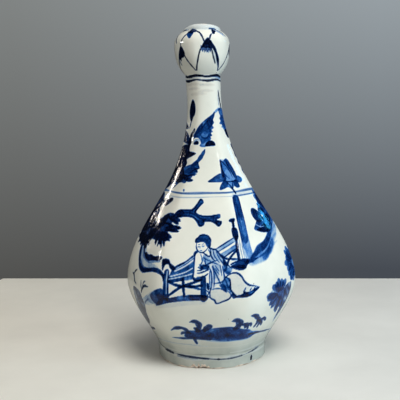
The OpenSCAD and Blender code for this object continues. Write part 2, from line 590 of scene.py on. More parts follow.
@dataclass
class HeadPainting(Brush):
    """Petals on the garlic head and the double ring under it."""

    upper_ring: float = 246.9
    lower_ring: float = 243.2
    lobes: int = 5
    lobe_peak: float = -17.0

    def paint_head(self) -> None:
        """Paints the whole head."""
        self.motifs(self.left_petal, self.right_petal, self.right_tip)
        for shift in (0.0, 144.0, 216.0):
            self.motifs(self.front_petal, shift=shift)
        for shift in (0.0, 144.0, 216.0, 288.0):
            self.motifs(self.back_tip, shift=shift)
        self.motifs(self.collar_rings)

    def collar_rings(self) -> None:
        """Paints the double ring, in waves that follow the cloves."""
        between = (self.upper_ring + self.lower_ring) / 2
        self.grey = 0.9
        self.ring(BLACK, 2.0, self.upper_ring, 0.55, 0.15, self.lobes, self.lobe_peak)
        self.ring(DARK, 1.6, self.lower_ring, 0.5, 0.3, self.lobes, self.lobe_peak)
        self.grey = 0.4
        self.ring(MIST, 2.8, between, 0.5, 0.4, self.lobes, self.lobe_peak)
        self.grey = 0.0
        self.line(PALE, 2.4, 40, 246, 56, 246.4, 74, 245.2, 92, 244.6)

    def front_petal(self) -> None:
        """Paints a tall petal with a dark tip that breaks up into brush marks."""
        self.grey = 0.35
        self.wash(
            MID, 18.6, 278.4, 11, 275.6, 6, 272.2, 1, 268, 4, 268.4, 6.5, 266.4, 9, 268, 12, 266.4, 14.4, 268, 17, 266,
            20, 267.8, 23, 266.4, 26, 268.6, 30, 270.6, 24, 275.6, rim=0.2, streak=0.7)
        self.wash(
            BLACK, 18.6, 278, 11, 275, 6, 272, 3, 269.6, 9, 270, 14, 269.2, 19, 269.8, 24, 268.8, 30, 270.6, 25, 274.6)
        for right, up in ((3.6, 269.4), (8, 268.6), (11.6, 268), (15.6, 268), (19.4, 267.6), (23, 268)):
            self.line(SOFT, 1, right, up + 2, right - 0.6, up - 2.4, ends=(1, 0.2))
        self.wash(MIST, 28, 269, 34, 266, 40, 259.6, 45, 254.4, 40, 255.6, 33, 260.4)
        self.grey = 0.85
        self.line(DARK, 1.2, 2, 268.6, -1.6, 264, -4.6, 259.4, -8, 255, -10.6, 251.6, ends=(0.8, 1))
        self.grey = 0.35
        self.line(BLACK, 2.2, 23, 275, 29.6, 270.8, 36.6, 265, 42.6, 258.4, 50, 251.4, ends=(1, 0.5))
        self.grey = 0.9
        self.line(DEEP, 1.3, 26, 268.4, 30.4, 262, 36, 257, ends=(0.9, 0.6))

    def left_petal(self) -> None:
        """Paints the small, low petal on the left of the front one."""
        self.grey = 0.5
        self.wash(
            BLACK, -46, 272.4, -51, 269.6, -55, 265.6, -59, 260.6, -54, 261.4, -50, 259.6, -46, 262.4, -41, 262.4,
            -36, 264, -34, 266, -39, 270, streak=0.2)
        self.grey = 0.85
        self.line(DARK, 1.2, -36, 264.2, -30, 260.2, -22, 255.8, -13.6, 251.6, ends=(1, 0.6))
        self.line(DARK, 1.2, -58, 261, -65, 255.4, -73, 250.6, -82, 247, ends=(1, 0.7))
        self.line(SOFT, 1.4, -56, 262, -55, 258, -53, 256)
        self.line(DEEP, 1.3, -88, 284.8, -62, 285.6, -38, 285.8, ends=(0.5, 0.5))

    def right_petal(self) -> None:
        """Paints the petal on the right, which runs round the edge."""
        self.grey = 0.7
        self.line(DEEP, 1.4, 54, 251.6, 66, 257.4, 75, 263, 83, 268.6, 90, 272.6, ends=(0.7, 1))
        self.wash(DARK, 84, 267.6, 91, 274, 98, 270.4, 106, 264.4, 99, 265.6, 92, 263.4)
        self.line(DARK, 1.8, 94, 273, 104, 266.4, 114, 258.6, 124, 251.4, ends=(1, 0.5))

    def back_tip(self) -> None:
        """Paints the tip of a petal that stands behind two others."""
        self.grey = 0.6
        self.line(DARK, 1.3, -24, 285.4, -33, 282, -39.6, 279, -44.6, 275.6, -46.4, 271.4, ends=(1, 0.8))
        self.line(DARK, 1.4, -6, 284, 1, 282.4, 6, 279.4, 10, 275.4, ends=(1, 0.7))
        self.grey = 0.55
        self.wash(DARK, -33, 283.6, -28, 285.8, -16, 286, -5, 284, -14, 283, -22, 282.6, rim=0.1)
        self.grey = 0.0
        self.wash(DEEP, -32, 282.4, -25, 284, -15, 283, -17, 280, -21, 278, -27, 279.6, rim=0.3, streak=0.7)

    def right_tip(self) -> None:
        """Paints the broken tip under the lip on the right."""
        self.grey = 0.5
        self.line(DARK, 1.3, 22, 277, 25, 279.8, 29, 281.6, ends=(1, 0.5))
        self.grey = 0.2
        self.wash(DARK, 31, 281.8, 34, 285, 40, 285.6, 45, 284, 40, 283, 36, 281.4, rim=0.3, streak=0.6)
        self.grey = 0.6
        self.line(DEEP, 1.4, 28, 286, 42, 286, 54, 285, 66, 282.6, 73, 280, ends=(0.5, 0.5))
        self.grey = 0.1
        self.line(SOFT, 1.6, 44, 284.8, 56, 282.6, 66, 279.6, ends=(0.8, 0.3))


@dataclass
class NeckPainting(Brush):
    """Birds, a flower and leaves on the neck, over the double line at the shoulder."""

    upper_line: float = 148.5
    lower_line: float = 145.2

    def paint_neck(self) -> None:
        """Paints the neck, front and back."""
        self.motifs(self.bird, self.dark_leaf, self.right_leaf, self.reeds, self.sprig, self.flower, self.edge_leaf)
        self.motifs(self.flower, shift=150.0)
        self.motifs(self.flower, shift=210.0, mirror=True)
        self.motifs(self.bird, self.dark_leaf, shift=178.0, mirror=True)
        self.motifs(self.haze, self.shoulder_lines)

    def haze(self) -> None:
        """Paints faint grey strokes round the slim neck."""
        self.edge, self.grey = 2.2, 1.0
        for low, high, up in ((-60, 4, 240), (-4, 44, 239.4), (-52, -8, 236.4), (-10, 38, 234.4), (-44, 14, 231.8)):
            self.line(MIST, 2.6, low, up - 0.5, (low + high) / 2, up, high, up - 0.2)

    def shoulder_lines(self) -> None:
        """Paints the double line at the shoulder, which is smudged on the right."""
        self.grey = 0.3
        self.ring(MID, 1.8, self.upper_line, 0.2, 0.3)
        self.ring(PALE, 1.2, self.lower_line, 0.2, 0.3)
        self.wash(MIST, 38, 148, 64, 148, 96, 148, 96, 145.4, 64, 145.2, 38, 145.4)
        self.line(SOFT, 1.3, 38, 145.2, 56, 145.2, 76, 145, 94, 145.2)

    def bird(self) -> None:
        """Paints a bird with a spread wing, a ragged edge and a dark tail."""
        self.wash(
            MID, 38, 216, 28, 214, 14, 211.4, 0, 208.6, -12, 205.2, -21, 201.6, -27.4, 198, -29, 195, -27, 193.8,
            -22, 194.6, -16, 194.2, -11.4, 192.4, -9, 189.6, -12, 187.6, -5, 186.4, 3, 186.8, 9, 190.6, 18, 193.4,
            16, 195.2, 21.6, 196, 18.4, 198.2, 24.6, 199.2, 21.6, 201, 28.6, 202.6, 25.6, 204.6, 31.6, 207, 29, 209.4,
            35, 212.2, rim=0.5, streak=0.6)
        self.wash(MID, 37, 215, 26, 213, 12, 210, 8, 206, 16, 203, 24, 203.4, 28.6, 208.6, rim=0.3, streak=0.9)
        self.wash(MID, -27, 198, -18, 202, -4, 206.6, -6, 201.6, -11, 196, -24, 194.4, rim=0.3, streak=0.9)
        self.wash(SOFT, -8, 195, 2, 194.6, 12, 196, 19, 198, 16, 194.4, 6, 191.6, -6, 189, rim=0.3, streak=0.9)
        self.wash(SOFT, -10, 197, -4, 204, 8, 207.4, 18, 205, 19, 199.6, 8, 198.4, 0, 199.6, streak=0.6)
        self.wash(SOFT, -6, 201, 2, 201, 8, 198.6, 4, 196.8, -2, 198.4, streak=0.9)
        self.lines(
            MID, (1.6, -24, 197, -14, 200, -4, 203.4, 8, 207.4, 22, 211), (1.2, 10, 201.4, 18, 203.6, 27, 207.6),
            (1.4, 14, 197.4, 8, 194.4, -2, 194, -10, 196.4))
        self.wash(BLACK, 2, 187, 14, 187.2, 25.6, 187.6, 24, 190.6, 15, 192, 8, 190.8, 3, 189.4)
        self.wash(BLACK, -27.6, 189.4, -24, 191.4, -19, 192, -14.4, 190.8, -15, 189, -21, 188.4)
        self.line(SOFT, 0.8, -28, 190.8, -23, 192.6, -16, 192.8, -11, 191)

    def dark_leaf(self) -> None:
        """Paints a black leaf that hangs beside the slim neck."""
        self.wash(
            BLACK, -38, 227, -30, 225, -26, 220, -28, 215, -36, 212, -44, 208, -50, 209, -56, 213, -57, 218, -48, 224,
            streak=0.1)
        self.line(DARK, 1.4, -45, 209.6, -49, 205.4, -53, 202.4)

    def right_leaf(self) -> None:
        """Paints the blue leaf that wraps the right of the neck, and the thin stem over it."""
        self.line(SOFT, 2.2, 37, 215.4, 46, 217, 56, 218.2, 68, 218.6, ends=(0.8, 1))
        self.wash(
            MID, 56, 218.4, 72, 219.4, 90, 219, 100, 213, 101, 198, 90, 193.6, 80, 194.4, 75, 198.6, 66, 202, 59, 202.8,
            65, 204.8, 51, 206, 60, 208.2, 56, 210.4, 63, 212.4, 58, 215, rim=0.3, streak=0.6)
        self.wash(SOFT, 66, 212, 84, 213, 96, 208, 84, 201, 74, 202, 64, 206, rim=0.3, streak=0.8)
        self.wash(BLACK, 73, 199.6, 84, 201, 98, 199, 95, 194.6, 86, 193.2, 78, 195)
        self.grey = 0.4
        self.line(BLACK, 2.2, 64, 234, 69, 229.6, 75, 224.6, 81, 219.6, ends=(0.6, 1))
        self.line(SOFT, 1, 60, 231, 62, 225, 66, 220.4, ends=(0.3, 0.8))

    def reeds(self) -> None:
        """Paints the dark clump of leaves that fills the left of the neck."""
        self.grey = 0.3
        self.wash(DARK, -90, 209.6, -76, 207.6, -63, 204.6, -58, 202.6, -70, 202.2, -92, 203)
        self.wash(DARK, -92, 201, -72, 200.2, -56, 197.4, -46, 194, -39, 190, -52, 189, -76, 190.6, -92, 191.6)
        self.line(BLACK, 4.4, -29, 201.4, -37, 196, -42, 191, -45, 186.6, ends=(0.4, 1))
        self.wash(
            BLACK, -90, 184, -74, 187.2, -58, 188.6, -45, 188.4, -39, 187, -38, 183.4, -30, 181.8, -19.6, 181,
            -27, 178.8, -35, 177.4, -41, 175.6, -37, 172.6, -44, 168.6, -58, 168, -76, 172, -92, 176, streak=0.2)
        self.line(BLACK, 2.4, -40, 182, -30, 181.4, -20, 181, ends=(1, 0.4))
        self.wash(DARK, -88, 172, -64, 170.6, -46, 169, -38, 165, -36, 160, -46, 157, -62, 157.6, -88, 165, rim=0.3)
        self.wash(DARK, -98, 178, -74, 173, -62, 168, -60, 160, -66, 155.4, -80, 150.6, -98, 150, streak=0.5)
        self.lines(
            DARK, (3.2, -56, 168, -70, 161, -80, 154.6, -88, 150), (3, -70, 172, -86, 162, -96, 153), ends=(0.9, 0.5))
        self.leaf(DARK, 4, -70, 166, -114, 172, bend=-0.1)
        self.line(DEEP, 1.6, -38, 160, -50, 154.6, -58, 151.4, ends=(1, 0.3))

    def sprig(self) -> None:
        """Paints the blue sprig that rises to the right out of the reeds."""
        self.line(DEEP, 3.4, 0.6, 184.2, -5, 180.2, -12, 175.8, -22, 171, ends=(0.3, 1))
        self.wash(
            MID, -15, 174.6, -11, 171, -9.4, 168.6, -13.4, 167.8, -12.4, 165.4, -17, 164.6, -16, 162.6, -22, 162.6,
            -32, 162.6, -42, 165, -46, 168.6, -36, 170.6, -24, 172.4, rim=0.5, streak=0.9)
        self.wash(MID, -20, 170, -13, 168, -18, 165.4, -26, 164, -38, 166, -30, 169, rim=0.2, streak=0.9)
        self.lines(
            DARK, (1.2, -11, 168.6, -18, 167.6, -26, 165), (1.2, -15, 164, -22, 163.6, -30, 162), ends=(0.8, 0.3))
        self.grey = 0.2
        self.wash(
            DARK, -20, 162, -30, 163.4, -44, 163.6, -54, 159, -50, 156.6, -38, 157, -29, 156.8, -27, 158.8, rim=0.2,
            streak=0.6)
        self.leaf(BLACK, 3.4, -36, 161.4, -18.6, 158.8, bend=-0.06)
        self.grey = 0.0
        self.line(DARK, 1.5, -60, 155.4, -50, 156, -40, 157.6, ends=(0.4, 1))
        self.line(DEEP, 1.2, -28.6, 151.4, -27.4, 150, ends=(0.9, 0.5))

    def flower(self) -> None:
        """Paints an open flower with pointed side petals."""
        self.wash(
            SOFT, 29, 175.6, 34, 174.2, 40, 175.4, 45, 176.2, 50, 174.8, 55, 171, 59, 167, 60.4, 162, 57, 157,
            58, 152.4, 51, 151.6, 45, 153, 40, 150.6, 33, 152.8, 27, 151.8, 21, 150.6, 24, 155.4, 29, 158.6, 27, 164,
            28.4, 170, rim=0.5, streak=0)
        self.wash(PALE, 29, 175, 40, 175, 47, 172, 45, 166, 37, 167, 29, 164, streak=0.3)
        self.wash(MID, 38, 175, 46, 175.8, 51, 173.6, 57, 168, 60, 162, 55, 158, 50, 163, 45, 169, rim=0.3, streak=0.8)
        self.wash(MID, 28.6, 175, 31.6, 174.6, 31, 168, 32, 162, 27.6, 161, 28, 168, rim=0.3)
        self.wash(DEEP, 5, 157.6, 12, 160.4, 20, 163, 27, 164.2, 34, 161, 30, 157.8, 17, 157, rim=0.4, streak=0.5)
        self.wash(DEEP, 58, 160.6, 65, 161, 73, 158, 66, 155.6, 58, 155.8, rim=0.3, streak=0.6)
        self.wash(MID, 21, 151, 24, 155.4, 30, 158.6, 34, 155.6, 30, 152.4, rim=0.3, streak=0.6)
        self.wash(DEEP, 46, 157, 56, 158, 58, 152.4, 50, 151.4, 46, 153.6, rim=0.3, streak=0.6)
        self.lines(
            DARK, (1.1, 29, 174.4, 29.6, 168, 33, 163, 40, 159.4), (1.1, 31.4, 174.6, 40, 170, 45.6, 165.4, 48, 160),
            (1.1, 45, 176, 43.6, 171, 47.6, 167, 54, 160.4), (1.1, 29, 158.6, 36, 157, 44, 157, 52, 157.6),
            (1.1, 33, 156.6, 37, 154, 39, 151), (1.1, 44, 156.6, 42, 153.4, 40.6, 150.6))
        self.line(DARK, 2, 38, 153, 41, 149.8, 43, 147.4, ends=(0.8, 0.8))

    def edge_leaf(self) -> None:
        """Paints the leaf whose teeth show along the right edge."""
        self.wash(
            DEEP, 84, 187, 88, 182, 85, 178.6, 89, 175, 85.6, 171.4, 90, 168, 86, 164.6, 92, 160, 104, 162, 112, 172,
            108, 182, 96, 188, rim=0.3, streak=0.7)
        self.line(DARK, 1.4, 86, 186, 92, 176, 94, 164)


@dataclass
class GardenPainting(Brush):
    """A garden on the body: a leaning tree, a fence, a leaning figure, a bank, leaves and grass."""

    def paint_garden(self) -> None:
        """Paints the front, then lets the garden run on round the back."""
        self.motifs(self.tree, self.bough, self.foliage, self.hillside, self.fence, self.far_fence)
        self.motifs(self.pillar, self.bank, self.right_foliage)
        self.motifs(self.robe, self.sleeve, self.skirts, self.hair, self.face, self.neckline)
        self.motifs(self.leaf_cluster, self.edge_leaves, self.ground)
        back = self.tree, self.bough, self.foliage, self.fence, self.hillside
        self.motifs(*back, shift=178.0, mirror=True)
        self.motifs(self.ground, shift=172.0)
        self.motifs(self.leaf_cluster, shift=186.0, mirror=True)

    def neckline(self) -> None:
        """Paints the edge of the robe under the chin of the figure that leans on the fence."""
        self.line(DEEP, 0.9, 4.6, 104.6, 6.2, 102, 6.6, 99.6)

    def foliage(self) -> None:
        """Paints the dark bunches of leaves over the tree."""
        self.grey = 0.15
        self.wash(DARK, -54, 124, -46, 129.6, -40, 132, -31, 132, -30, 126, -31, 118, -33, 111, -44, 110, -56, 112)
        self.fan(
            BLACK, 4.8, -42, 119, -29.6, 111.4, -36, 107.8, -44, 107.8, -49, 111, -54, 121, -53, 125.6, -46, 129.4,
            -39, 131.6)
        for width, *at in (
            (4.6, -38, 129, -22.6, 126.4), (2.6, -34, 127.6, -23.4, 124), (4.2, -36, 120.6, -20.4, 121),
            (3.2, -36, 118.8, -21.6, 118.4), (3.6, -38, 117, -26.4, 113.4), (2.4, -36, 115, -26.8, 111),
            (2.6, -36, 114, -30.4, 106.8), (2.4, -38, 114, -33.4, 105.2), (2.4, -40, 113, -38.6, 105.6),
            (2.4, -43, 113, -42.6, 106.4), (2.6, -40, 124, -27, 122.4),
        ):
            self.leaf(BLACK, width, *at, bend=0.05)
        self.grey = 0.45
        self.wash(DARK, -92, 122, -78, 122.6, -68, 128, -60, 122, -50, 117, -52, 110, -60, 105, -80, 105.6)
        self.fan(
            BLACK, 5.4, -67, 114, -52, 118, -51, 113, -53.6, 105, -57, 101.6, -64, 102.8, -72, 103, -80, 103.6,
            -87, 109, -90, 117, -84, 122.4, -74, 126, -66, 128.6, -58, 123)
        self.wash(DARK, -98, 134, -80, 133.4, -70, 134, -64, 132, -62, 128, -66, 125, -78, 124, -98, 125, streak=0.5)
        self.grey = 0.25
        self.wash(DEEP, -96, 147, -78, 146, -71, 141.6, -68, 136, -72, 131, -82, 130, -98, 130, rim=0.3, streak=0.8)
        self.wash(DARK, -98, 126.4, -86, 126.6, -76, 125.6, -70, 126, -76, 122, -98, 121, streak=0.6)
        self.fan(DARK, 4.6, -84, 138, -70.4, 141.6, -68, 136.6, -71, 131.6, -79, 129.4, -80, 146, -92, 145)
        self.grey = 0.6
        self.wash(
            BLACK, -71, 140.8, -64, 140.6, -57, 142.2, -50, 143.8, -45, 144, -42.6, 142.2, -47, 139.6, -54, 137,
            -59, 136.8, -65, 138.6, streak=0.5)

    def bough(self) -> None:
        """Paints the forked bough that reaches out of the leaves."""
        self.wash(
            DEEP, -30, 130.6, -29.4, 133, -26, 135.2, -18, 135.6, -14.6, 135, -11, 136.6, -6.8, 141, -5, 143.8,
            -1.8, 143.2, -0.4, 140.8, -3.4, 139.6, -6, 137.2, -9, 133.4, -5, 131.4, 2, 130.2, 8, 130.6, 15.4, 131.8,
            17.2, 131.2, 16.4, 128.8, 11, 127.4, 14.4, 126.6, 17.6, 126.2, 16, 123.2, 13.8, 122.4, 11.4, 124.8,
            7, 126.2, 1, 126, -0.4, 122.8, -4, 122.8, -6, 126.6, -11, 129.6, -17, 130.2, -24, 129.4, rim=0.4,
            streak=0.8)
        self.lines(
            DARK, (1.5, -30, 132.4, -26, 135, -18, 135.2, -13, 135.4, -7.6, 140, -4.6, 143.4, -1.4, 142.4),
            (1.3, -1, 140.8, -5, 138, -9, 133.8, -5, 131.2, 4, 130, 12, 131, 16.8, 131.2),
            (1.7, -27, 129.6, -18, 130.4, -11, 129.6, -6, 126.4, -3.4, 123, 0, 123.6, 1, 126.2),
            (1.5, 1, 126.2, 7, 126.4, 11.6, 124.8, 14.4, 122.8, 16.8, 125.4, 12, 127.4, 16.4, 129))
        self.line(DEEP, 1.6, -24, 132.6, -16, 133, -10, 131.6, -2, 128.4, 8, 128.4, ends=(0.5, 0.4))
        self.wash(DARK, -31, 130, -29, 133.6, -24, 134.8, -20, 133, -23, 130.4, streak=0.6)

    def tree(self) -> None:
        """Paints the bent trunk with the moss on it."""
        self.grey = 0.3
        self.wash(
            PALE, -68, 103, -63, 92, -55, 86, -46, 85.6, -38, 87.4, -31, 89.8, -36, 92, -44, 92.8, -52, 96, -57, 104,
            rim=0.1, streak=0.8)
        self.line(SOFT, 3.4, -62, 104, -57.6, 98, -53, 95.2, -46, 93.4, -38, 94, -31, 95, ends=(0.7, 0.5))
        self.grey = 0.1
        self.line(MID, 5.4, -68, 104, -64.6, 97, -60.6, 91, -55.6, 87, -48, 85.8, -40, 87, ends=(0.9, 0.4))
        self.line(
            DARK, 3.9, -68, 104, -65, 97, -61, 91, -56.6, 86.4, -50, 84.6, -43, 86, -35, 87.8, -29.8, 87.2, -26.6, 84.4,
            -25.6, 80)
        self.wash(
            BLACK, -59, 99.4, -55, 98.2, -52.4, 99, -48, 97.8, -43, 98.6, -38, 97.8, -32.4, 99.2, -29.4, 98,
            -31.4, 95.6, -38.4, 94.6, -45, 93.2, -50, 94, -55, 96.6, streak=0.3)
        self.line(BLACK, 1.8, -57, 98.6, -61, 102, -64, 105, ends=(1, 0.5))
        self.wash(
            BLACK, -29, 96.6, -26.6, 97.6, -24, 96.8, -22.4, 94, -20, 92.2, -18.4, 90, -20.4, 88.8, -22.6, 90.8,
            -23.6, 93, -26, 92.6, -27.2, 88, -28.4, 92.4, streak=0.3)

    def hillside(self) -> None:
        """Paints the watery slope, its rock and its bare twigs on the left."""
        # Painted reflection: the grey in these washes partly stands in for the haze of light mirrored in the glaze.
        self.grey = 0.75
        self.wash(
            MID, -67, 66.6, -60, 67.4, -53, 66, -50, 61.4, -49, 55.6, -53, 46.4, -57.6, 38, -67, 32.4, -82, 30, -98, 31,
            -84, 38, -73, 46, -68, 56, rim=0.1, streak=0.9)
        self.wash(PALE, -55, 54, -56, 46, -60, 39, -70, 33, -84, 31, -92, 33, -76, 41, -64, 48, streak=0.8)
        self.line(SOFT, 1.6, -40, 62.4, -47, 57, -52, 48)
        self.line(SOFT, 2.4, -52, 49, -57, 39.4, -66, 33.4, -80, 31, -96, 30, ends=(0.4, 1))
        self.line(DEEP, 3, -90, 23, -78, 25.4, -66, 28.2, -56, 30.6, ends=(0.3, 0.9))
        self.line(PALE, 1.5, -68, 18.4, -48, 20.8, -30, 22.2, -14, 22, 2, 20.2)
        self.grey = 0.85
        self.line(DEEP, 2.3, -69, 78.6, -66, 77.4, -64.4, 75, -63, 72.4, -60, 71, ends=(0.6, 0.4))
        self.line(DEEP, 1.9, -66, 78.6, -64, 81, -60.6, 83)
        self.line(DEEP, 2.2, -50, 66.4, -47.6, 70, -44.6, 72.6, -39.6, 73, ends=(0.9, 0.4))
        self.lines(MID, (1.7, -50.6, 75.6, -50.4, 72, -49.4, 68.6), (1.6, -47.6, 71.4, -46, 75.4, -43.6, 76.6))
        self.grey = 0.3
        self.wash(PALE, -52, 58, -44, 64, -37, 69, -31, 72.4, -28, 66, -33, 60.4, -42, 56.4, streak=1)
        self.wash(PALE, -42, 62, -38, 67, -31, 72.4, -27, 72, -26, 63, -31, 60, -37, 59.6, streak=1)
        self.grey = 0.15
        self.wash(DEEP, -37, 66, -31, 72.4, -26, 73.4, -25, 66, -27, 61, -32, 60.4, rim=0.1, streak=0.9)

    def fence(self) -> None:
        """Paints the garden fence: two posts, rails seen at a slant and crossed braces."""
        self.edge, self.grey = 2.0, 0.5
        self.wash(MIST, -33, 60, -22, 62.6, -8, 64.6, 2, 65, 1, 61.4, -10, 60.4, -22, 58, -32, 56.6)
        self.edge, self.grey = Brush.edge, 0.0
        self.wash(
            DEEP, -32, 59, -27, 60.4, -22, 62.4, -12, 64.2, -2, 64.8, 3, 65, 3, 69, -5, 69.6, -14, 68.6, -21, 66.6,
            -27, 66, rim=0.3, streak=0.8)
        self.line(PALE, 1.8, -28, 61.6, -18, 64.6, -8, 65.6, 2, 66.4)
        self.wash(
            DEEP, -19.4, 91.4, -12, 96, -6.6, 100.2, -6.4, 90, -6.4, 82.4, -12, 81, -23, 79, -22, 85, rim=0.2,
            streak=0.8)
        for width, *at in (
            (1.5, -18.6, 88.2, -12, 92.2, -6.6, 96.6), (0.7, -18, 90, -12, 94.2, -6.6, 98.6),
            (1.1, -21.4, 83.8, -12, 87.2, -6.6, 90.6), (1, -22.4, 81.6, -12, 84.4, -6.4, 86.4),
        ):
            self.scratch(width, *at)
        self.wash(DEEP, -25.8, 88, -22.8, 88.4, -22.2, 78, -22, 65, -25.4, 65, -25.6, 78, rim=0.35, streak=0.4)
        self.scratch(0.8, -23.8, 88, -23.6, 80, -23.4, 70)
        self.line(DARK, 2.2, -22.6, 79.6, -16, 76.8, -8, 76.2, 0, 77, ends=(0.8, 0.8))
        self.line(DARK, 2.1, -22, 68.4, -16.6, 73.6, -12, 76.6, -4, 80, 0, 81.6, ends=(0.8, 0.6))
        self.line(DEEP, 2, -11, 76.4, -5, 75.4, 0, 73.6)
        self.line(DARK, 2.2, -12.8, 83, -12.4, 76, -11.8, 68.6, ends=(0.9, 0.9))
        self.wash(DEEP, -0.8, 83.6, 2.4, 83.8, 2.8, 74, 2.6, 64.8, -1, 64.8, -0.8, 74, rim=0.3, streak=0.3)

    def far_fence(self) -> None:
        """Paints the fence behind the figure, with its turned post."""
        self.wash(PALE, 10.6, 105, 18, 109.4, 25.6, 113.6, 25.6, 111, 18, 106.6, 11.4, 103, rim=0.3, streak=1)
        self.line(DARK, 1, 10.4, 105, 18, 109.4, 26, 113.8)
        self.line(DEEP, 0.8, 11.6, 102.8, 18, 106.4, 25.6, 110.6)
        self.wash(SOFT, 13, 100.8, 19, 104.4, 25.4, 108.2, 25.4, 105.4, 19, 101.8, 14, 98.8, rim=0.6, streak=0.8)
        self.lines(
            DARK, (1.6, 17.4, 92.6, 19, 96.4, 22, 100.4, 25.6, 103.8), (1.5, 14.6, 100, 17, 97.8, 21, 97.2, 26, 97),
            (1.3, 20, 93, 23, 94.6, 26, 96), (1.2, 15.6, 98.4, 20, 101.6, 25.6, 105), ends=(0.8, 0.8))
        self.line(DARK, 2.3, 26, 97, 26.2, 104, 26.8, 112, ends=(0.9, 0.9))
        self.wash(BLACK, 24.6, 115, 24.8, 119.6, 26, 121, 29, 120.6, 29.6, 118, 29, 113.6, 26.4, 111)
        self.line(BLACK, 1.9, 27, 120, 27.4, 126, ends=(0.9, 1))
        self.wash(BLACK, 24, 126.6, 26.4, 128, 29.8, 128.2, 29.4, 126, 27.4, 125.2, 25, 125.4)
        self.wash(DARK, 19.6, 91.4, 23, 93.6, 26, 96.6, 31, 97, 34, 95.6, 31, 91.6, 28, 88.6, 24, 88.8)
        self.leaf(BLACK, 3.6, 23, 91, 30, 90.4, bend=0.05)
        self.line(DEEP, 3.2, 30, 94, 35, 94.8, 42, 95.8, ends=(1, 0.2))
        self.grey = 0.3
        for right in (28.6, 30.2):
            self.line(SOFT, 0.7, right, 97, right, 104, right + 0.6, 112)

    def pillar(self) -> None:
        """Paints the tall post that rises behind the fence, in upright streaks."""
        self.wash(
            PALE, 35, 144.4, 32, 128, 31, 112, 31.2, 97, 38, 98, 38.4, 107, 40, 119, 42.2, 131, 45.4, 144.4, rim=0.3,
            streak=0.9)
        self.wash(
            SOFT, 35, 144.4, 32, 128, 31.4, 114, 34, 108, 38, 111, 40, 119, 42.2, 131, 45.4, 144.4, rim=0.2, streak=0.9)
        self.wash(
            SOFT, 35, 144, 39.4, 144, 36.6, 130, 34.4, 117, 33.6, 110, 31.6, 110, 31.4, 118, 33, 132, rim=0.3,
            streak=0.8)
        self.wash(MID, 36, 144.2, 45.2, 144.2, 43, 136, 40, 128, 37, 126, 35, 134, streak=0.8)
        self.line(DEEP, 1, 35.4, 144, 32.4, 128, 31.4, 113, 31.6, 104, ends=(1, 0.3))
        self.line(DEEP, 1, 45, 144, 42, 131, 39.8, 119, ends=(1, 0.4))
        self.wash(PALE, 32, 112, 38, 112, 38, 101, 35, 98, 32.4, 99, streak=1)

    def bank(self) -> None:
        """Paints the sloping bank behind the post, dark above and fading below."""
        self.edge = 2.2
        self.wash(PALE, 32, 96, 42, 101, 54, 104, 66, 110, 70, 107, 62, 99, 52, 92.6, 42, 91, 34, 91, rim=0.1, streak=1)
        self.wash(PALE, 54, 97, 64, 105, 74, 112, 86, 119, 92, 121, 84, 112, 72, 104.6, 62, 97, streak=1)
        self.wash(SOFT, 48, 96, 58, 100, 66, 105, 72, 107.4, 66, 101, 58, 95.6, 50, 92.6, streak=1)
        self.wash(PALE, 34, 97, 46, 103, 56, 105, 66, 108, 60, 99, 50, 93, 38, 91.4, streak=0.8)
        self.lines(
            PALE, (2.0, 60, 103, 70, 107.4, 80, 110.4), (2.0, 56, 98.6, 66, 102, 76, 104.6),
            (2.0, 64, 107, 76, 113, 88, 117), ends=(0.9, 0.2))
        self.edge = 1.2
        self.wash(
            DEEP, 35, 96.6, 40, 100.8, 46, 105, 56, 107.2, 67, 112.6, 79, 119.8, 90, 126, 92, 122, 82, 117, 72, 110.6,
            62, 104.6, 54, 100.8, 46, 99, 40, 96.6, rim=0.1, streak=0.6)
        self.line(MID, 1.4, 40, 95.4, 50, 97.4, 60, 101.4, 68, 106.6)

    def right_foliage(self) -> None:
        """Paints the leaves that overhang the bank on the right."""
        self.wash(
            DARK, 56, 126.6, 56.4, 131, 60.6, 133.6, 66, 132.8, 71, 129, 72, 125, 67, 122, 59.6, 122.6, rim=0.1,
            streak=0.4)
        self.wash(
            DEEP, 50, 117, 55.6, 121.4, 61, 124, 68, 122.4, 73, 119, 76, 114.6, 70, 113, 62, 113.8, rim=0.3, streak=0.7)
        self.wash(DARK, 53, 116.4, 60, 117.8, 68, 120, 74, 117, 69, 113.2, 60, 113.8, rim=0.2, streak=0.5)
        self.scratch(0.8, 55.4, 120.6, 60, 118.4, 66, 118)
        self.wash(
            MID, 70, 130, 75, 126, 79, 121, 86, 124, 92, 126, 97, 134, 96, 141, 84, 143, 77, 136, rim=0.3, streak=0.9)
        self.wash(MID, 79, 137, 83, 143, 92, 144, 95, 136, 86, 132, streak=0.9)
        self.wash(DEEP, 70, 126, 76, 124, 84, 127, 92, 130, 92, 126, 82, 120, 74, 116, 70, 120, rim=0.3, streak=0.9)
        self.fan(DEEP, 3.8, 84, 128, 73, 131, 76, 136.4, 72, 123.6, 78, 118.6, 90, 138)
        self.fan(MID, 5.2, 90, 134, 80, 143, 85, 147.4, 92, 147.6, 99, 146, 104, 141, 106, 134, 104, 127, 98, 122.6)

